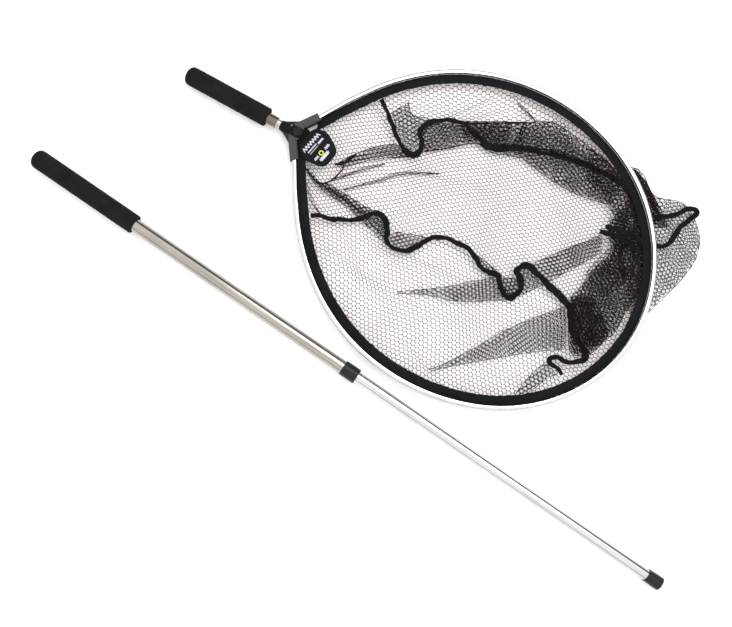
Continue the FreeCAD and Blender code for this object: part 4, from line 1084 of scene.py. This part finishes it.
def light_scene():
    """A bright studio room and one large soft light from above."""
    world = bpy.data.worlds.new("studio")
    bpy.context.scene.world = world
    world.use_nodes = True
    tree = world.node_tree
    sky = tree.nodes["Background"]
    sky.inputs["Strength"].default_value = 1.0
    # a pale skirting, a darker wall and a white ceiling, so that round metal shows dark lines beside
    # its highlight
    direction = tree.nodes.new("ShaderNodeTexCoord")
    height = tree.nodes.new("ShaderNodeSeparateXYZ")
    ceiling = tree.nodes.new("ShaderNodeValToRGB")
    tree.links.new(direction.outputs["Generated"], height.inputs["Vector"])
    tree.links.new(height.outputs["Z"], ceiling.inputs["Fac"])
    # a dark screen on one side, between the wall and the ceiling
    screen = None
    for output, (low, high) in (("Y", (0.42, 0.58)), ("Z", (0.13, 0.16)), ("Z", (0.66, 0.58))):
        edge = tree.nodes.new("ShaderNodeMapRange")
        tree.links.new(height.outputs[output], edge.inputs["Value"])
        edge.inputs["From Min"].default_value = low
        edge.inputs["From Max"].default_value = high
        if screen is None:
            screen = edge.outputs["Result"]
            continue
        both = tree.nodes.new("ShaderNodeMath")
        both.operation = "MULTIPLY"
        tree.links.new(screen, both.inputs[0])
        tree.links.new(edge.outputs["Result"], both.inputs[1])
        screen = both.outputs["Value"]
    room = tree.nodes.new("ShaderNodeMix")
    room.data_type = "RGBA"
    tree.links.new(screen, room.inputs["Factor"])
    tree.links.new(ceiling.outputs["Color"], room.inputs["A"])
    room.inputs["B"].default_value = (0.035, 0.032, 0.030, 1.0)
    tree.links.new(room.outputs["Result"], sky.inputs["Color"])
    ceiling.color_ramp.elements[0].position = 0.13
    ceiling.color_ramp.elements[0].color = (0.78, 0.77, 0.76, 1.0)
    ceiling.color_ramp.elements[1].position = 0.42
    ceiling.color_ramp.elements[1].color = (1.0, 1.0, 1.0, 1.0)
    ceiling.color_ramp.elements.new(0.15).color = (0.14, 0.115, 0.105, 1.0)
    add_light("key", (0.4, 1.2, 2.3), (0, 0, 0), 1.8, 22.0)
    view = bpy.context.scene.view_settings
    view.view_transform = "Standard"
    view.look = "None"
    view.exposure = 0.5


# The camera looks almost straight down: it leans by CAMERA_LEAN towards the direction CAMERA_LEAN_TO,
# and its upright is turned so that the net's far end points right and down.
CAMERA_TURN = math.radians(28.95)
CAMERA_LEAN = math.radians(8.0)
CAMERA_LEAN_TO = math.radians(20.0)
CAMERA_DISTANCE = 1.323
CAMERA_LENS = 44.26
CAMERA_TARGET = (-0.00978, -0.14434)


def make_camera():
    """The camera, at its distance from the target along the leaning line of sight."""
    turn = (Matrix.Rotation(CAMERA_TURN, 4, "Z") @ Matrix.Rotation(-CAMERA_LEAN_TO, 4, "Z"))
    tilt = turn @ Matrix.Rotation(CAMERA_LEAN, 4, "X") @ Matrix.Rotation(CAMERA_LEAN_TO, 4, "Z")
    away = turn @ Vector((0, -math.sin(CAMERA_LEAN), math.cos(CAMERA_LEAN)))
    target = Vector((*CAMERA_TARGET, HOOP_Z * MM))
    lens = bpy.data.cameras.new("camera")
    lens.lens = CAMERA_LENS
    lens.sensor_width = 36.0
    camera = bpy.data.objects.new("camera", lens)
    bpy.context.scene.collection.objects.link(camera)
    tilt.translation = target + away * CAMERA_DISTANCE
    camera.matrix_world = tilt
    bpy.context.scene.camera = camera


# ------------------------------------------------------------ the scene

make_camera()
light_scene()
make_stage()
finish_nodes()
nets = make_netting()
tapes = make_tapes()
make_hoop()
band = make_band()
make_label()
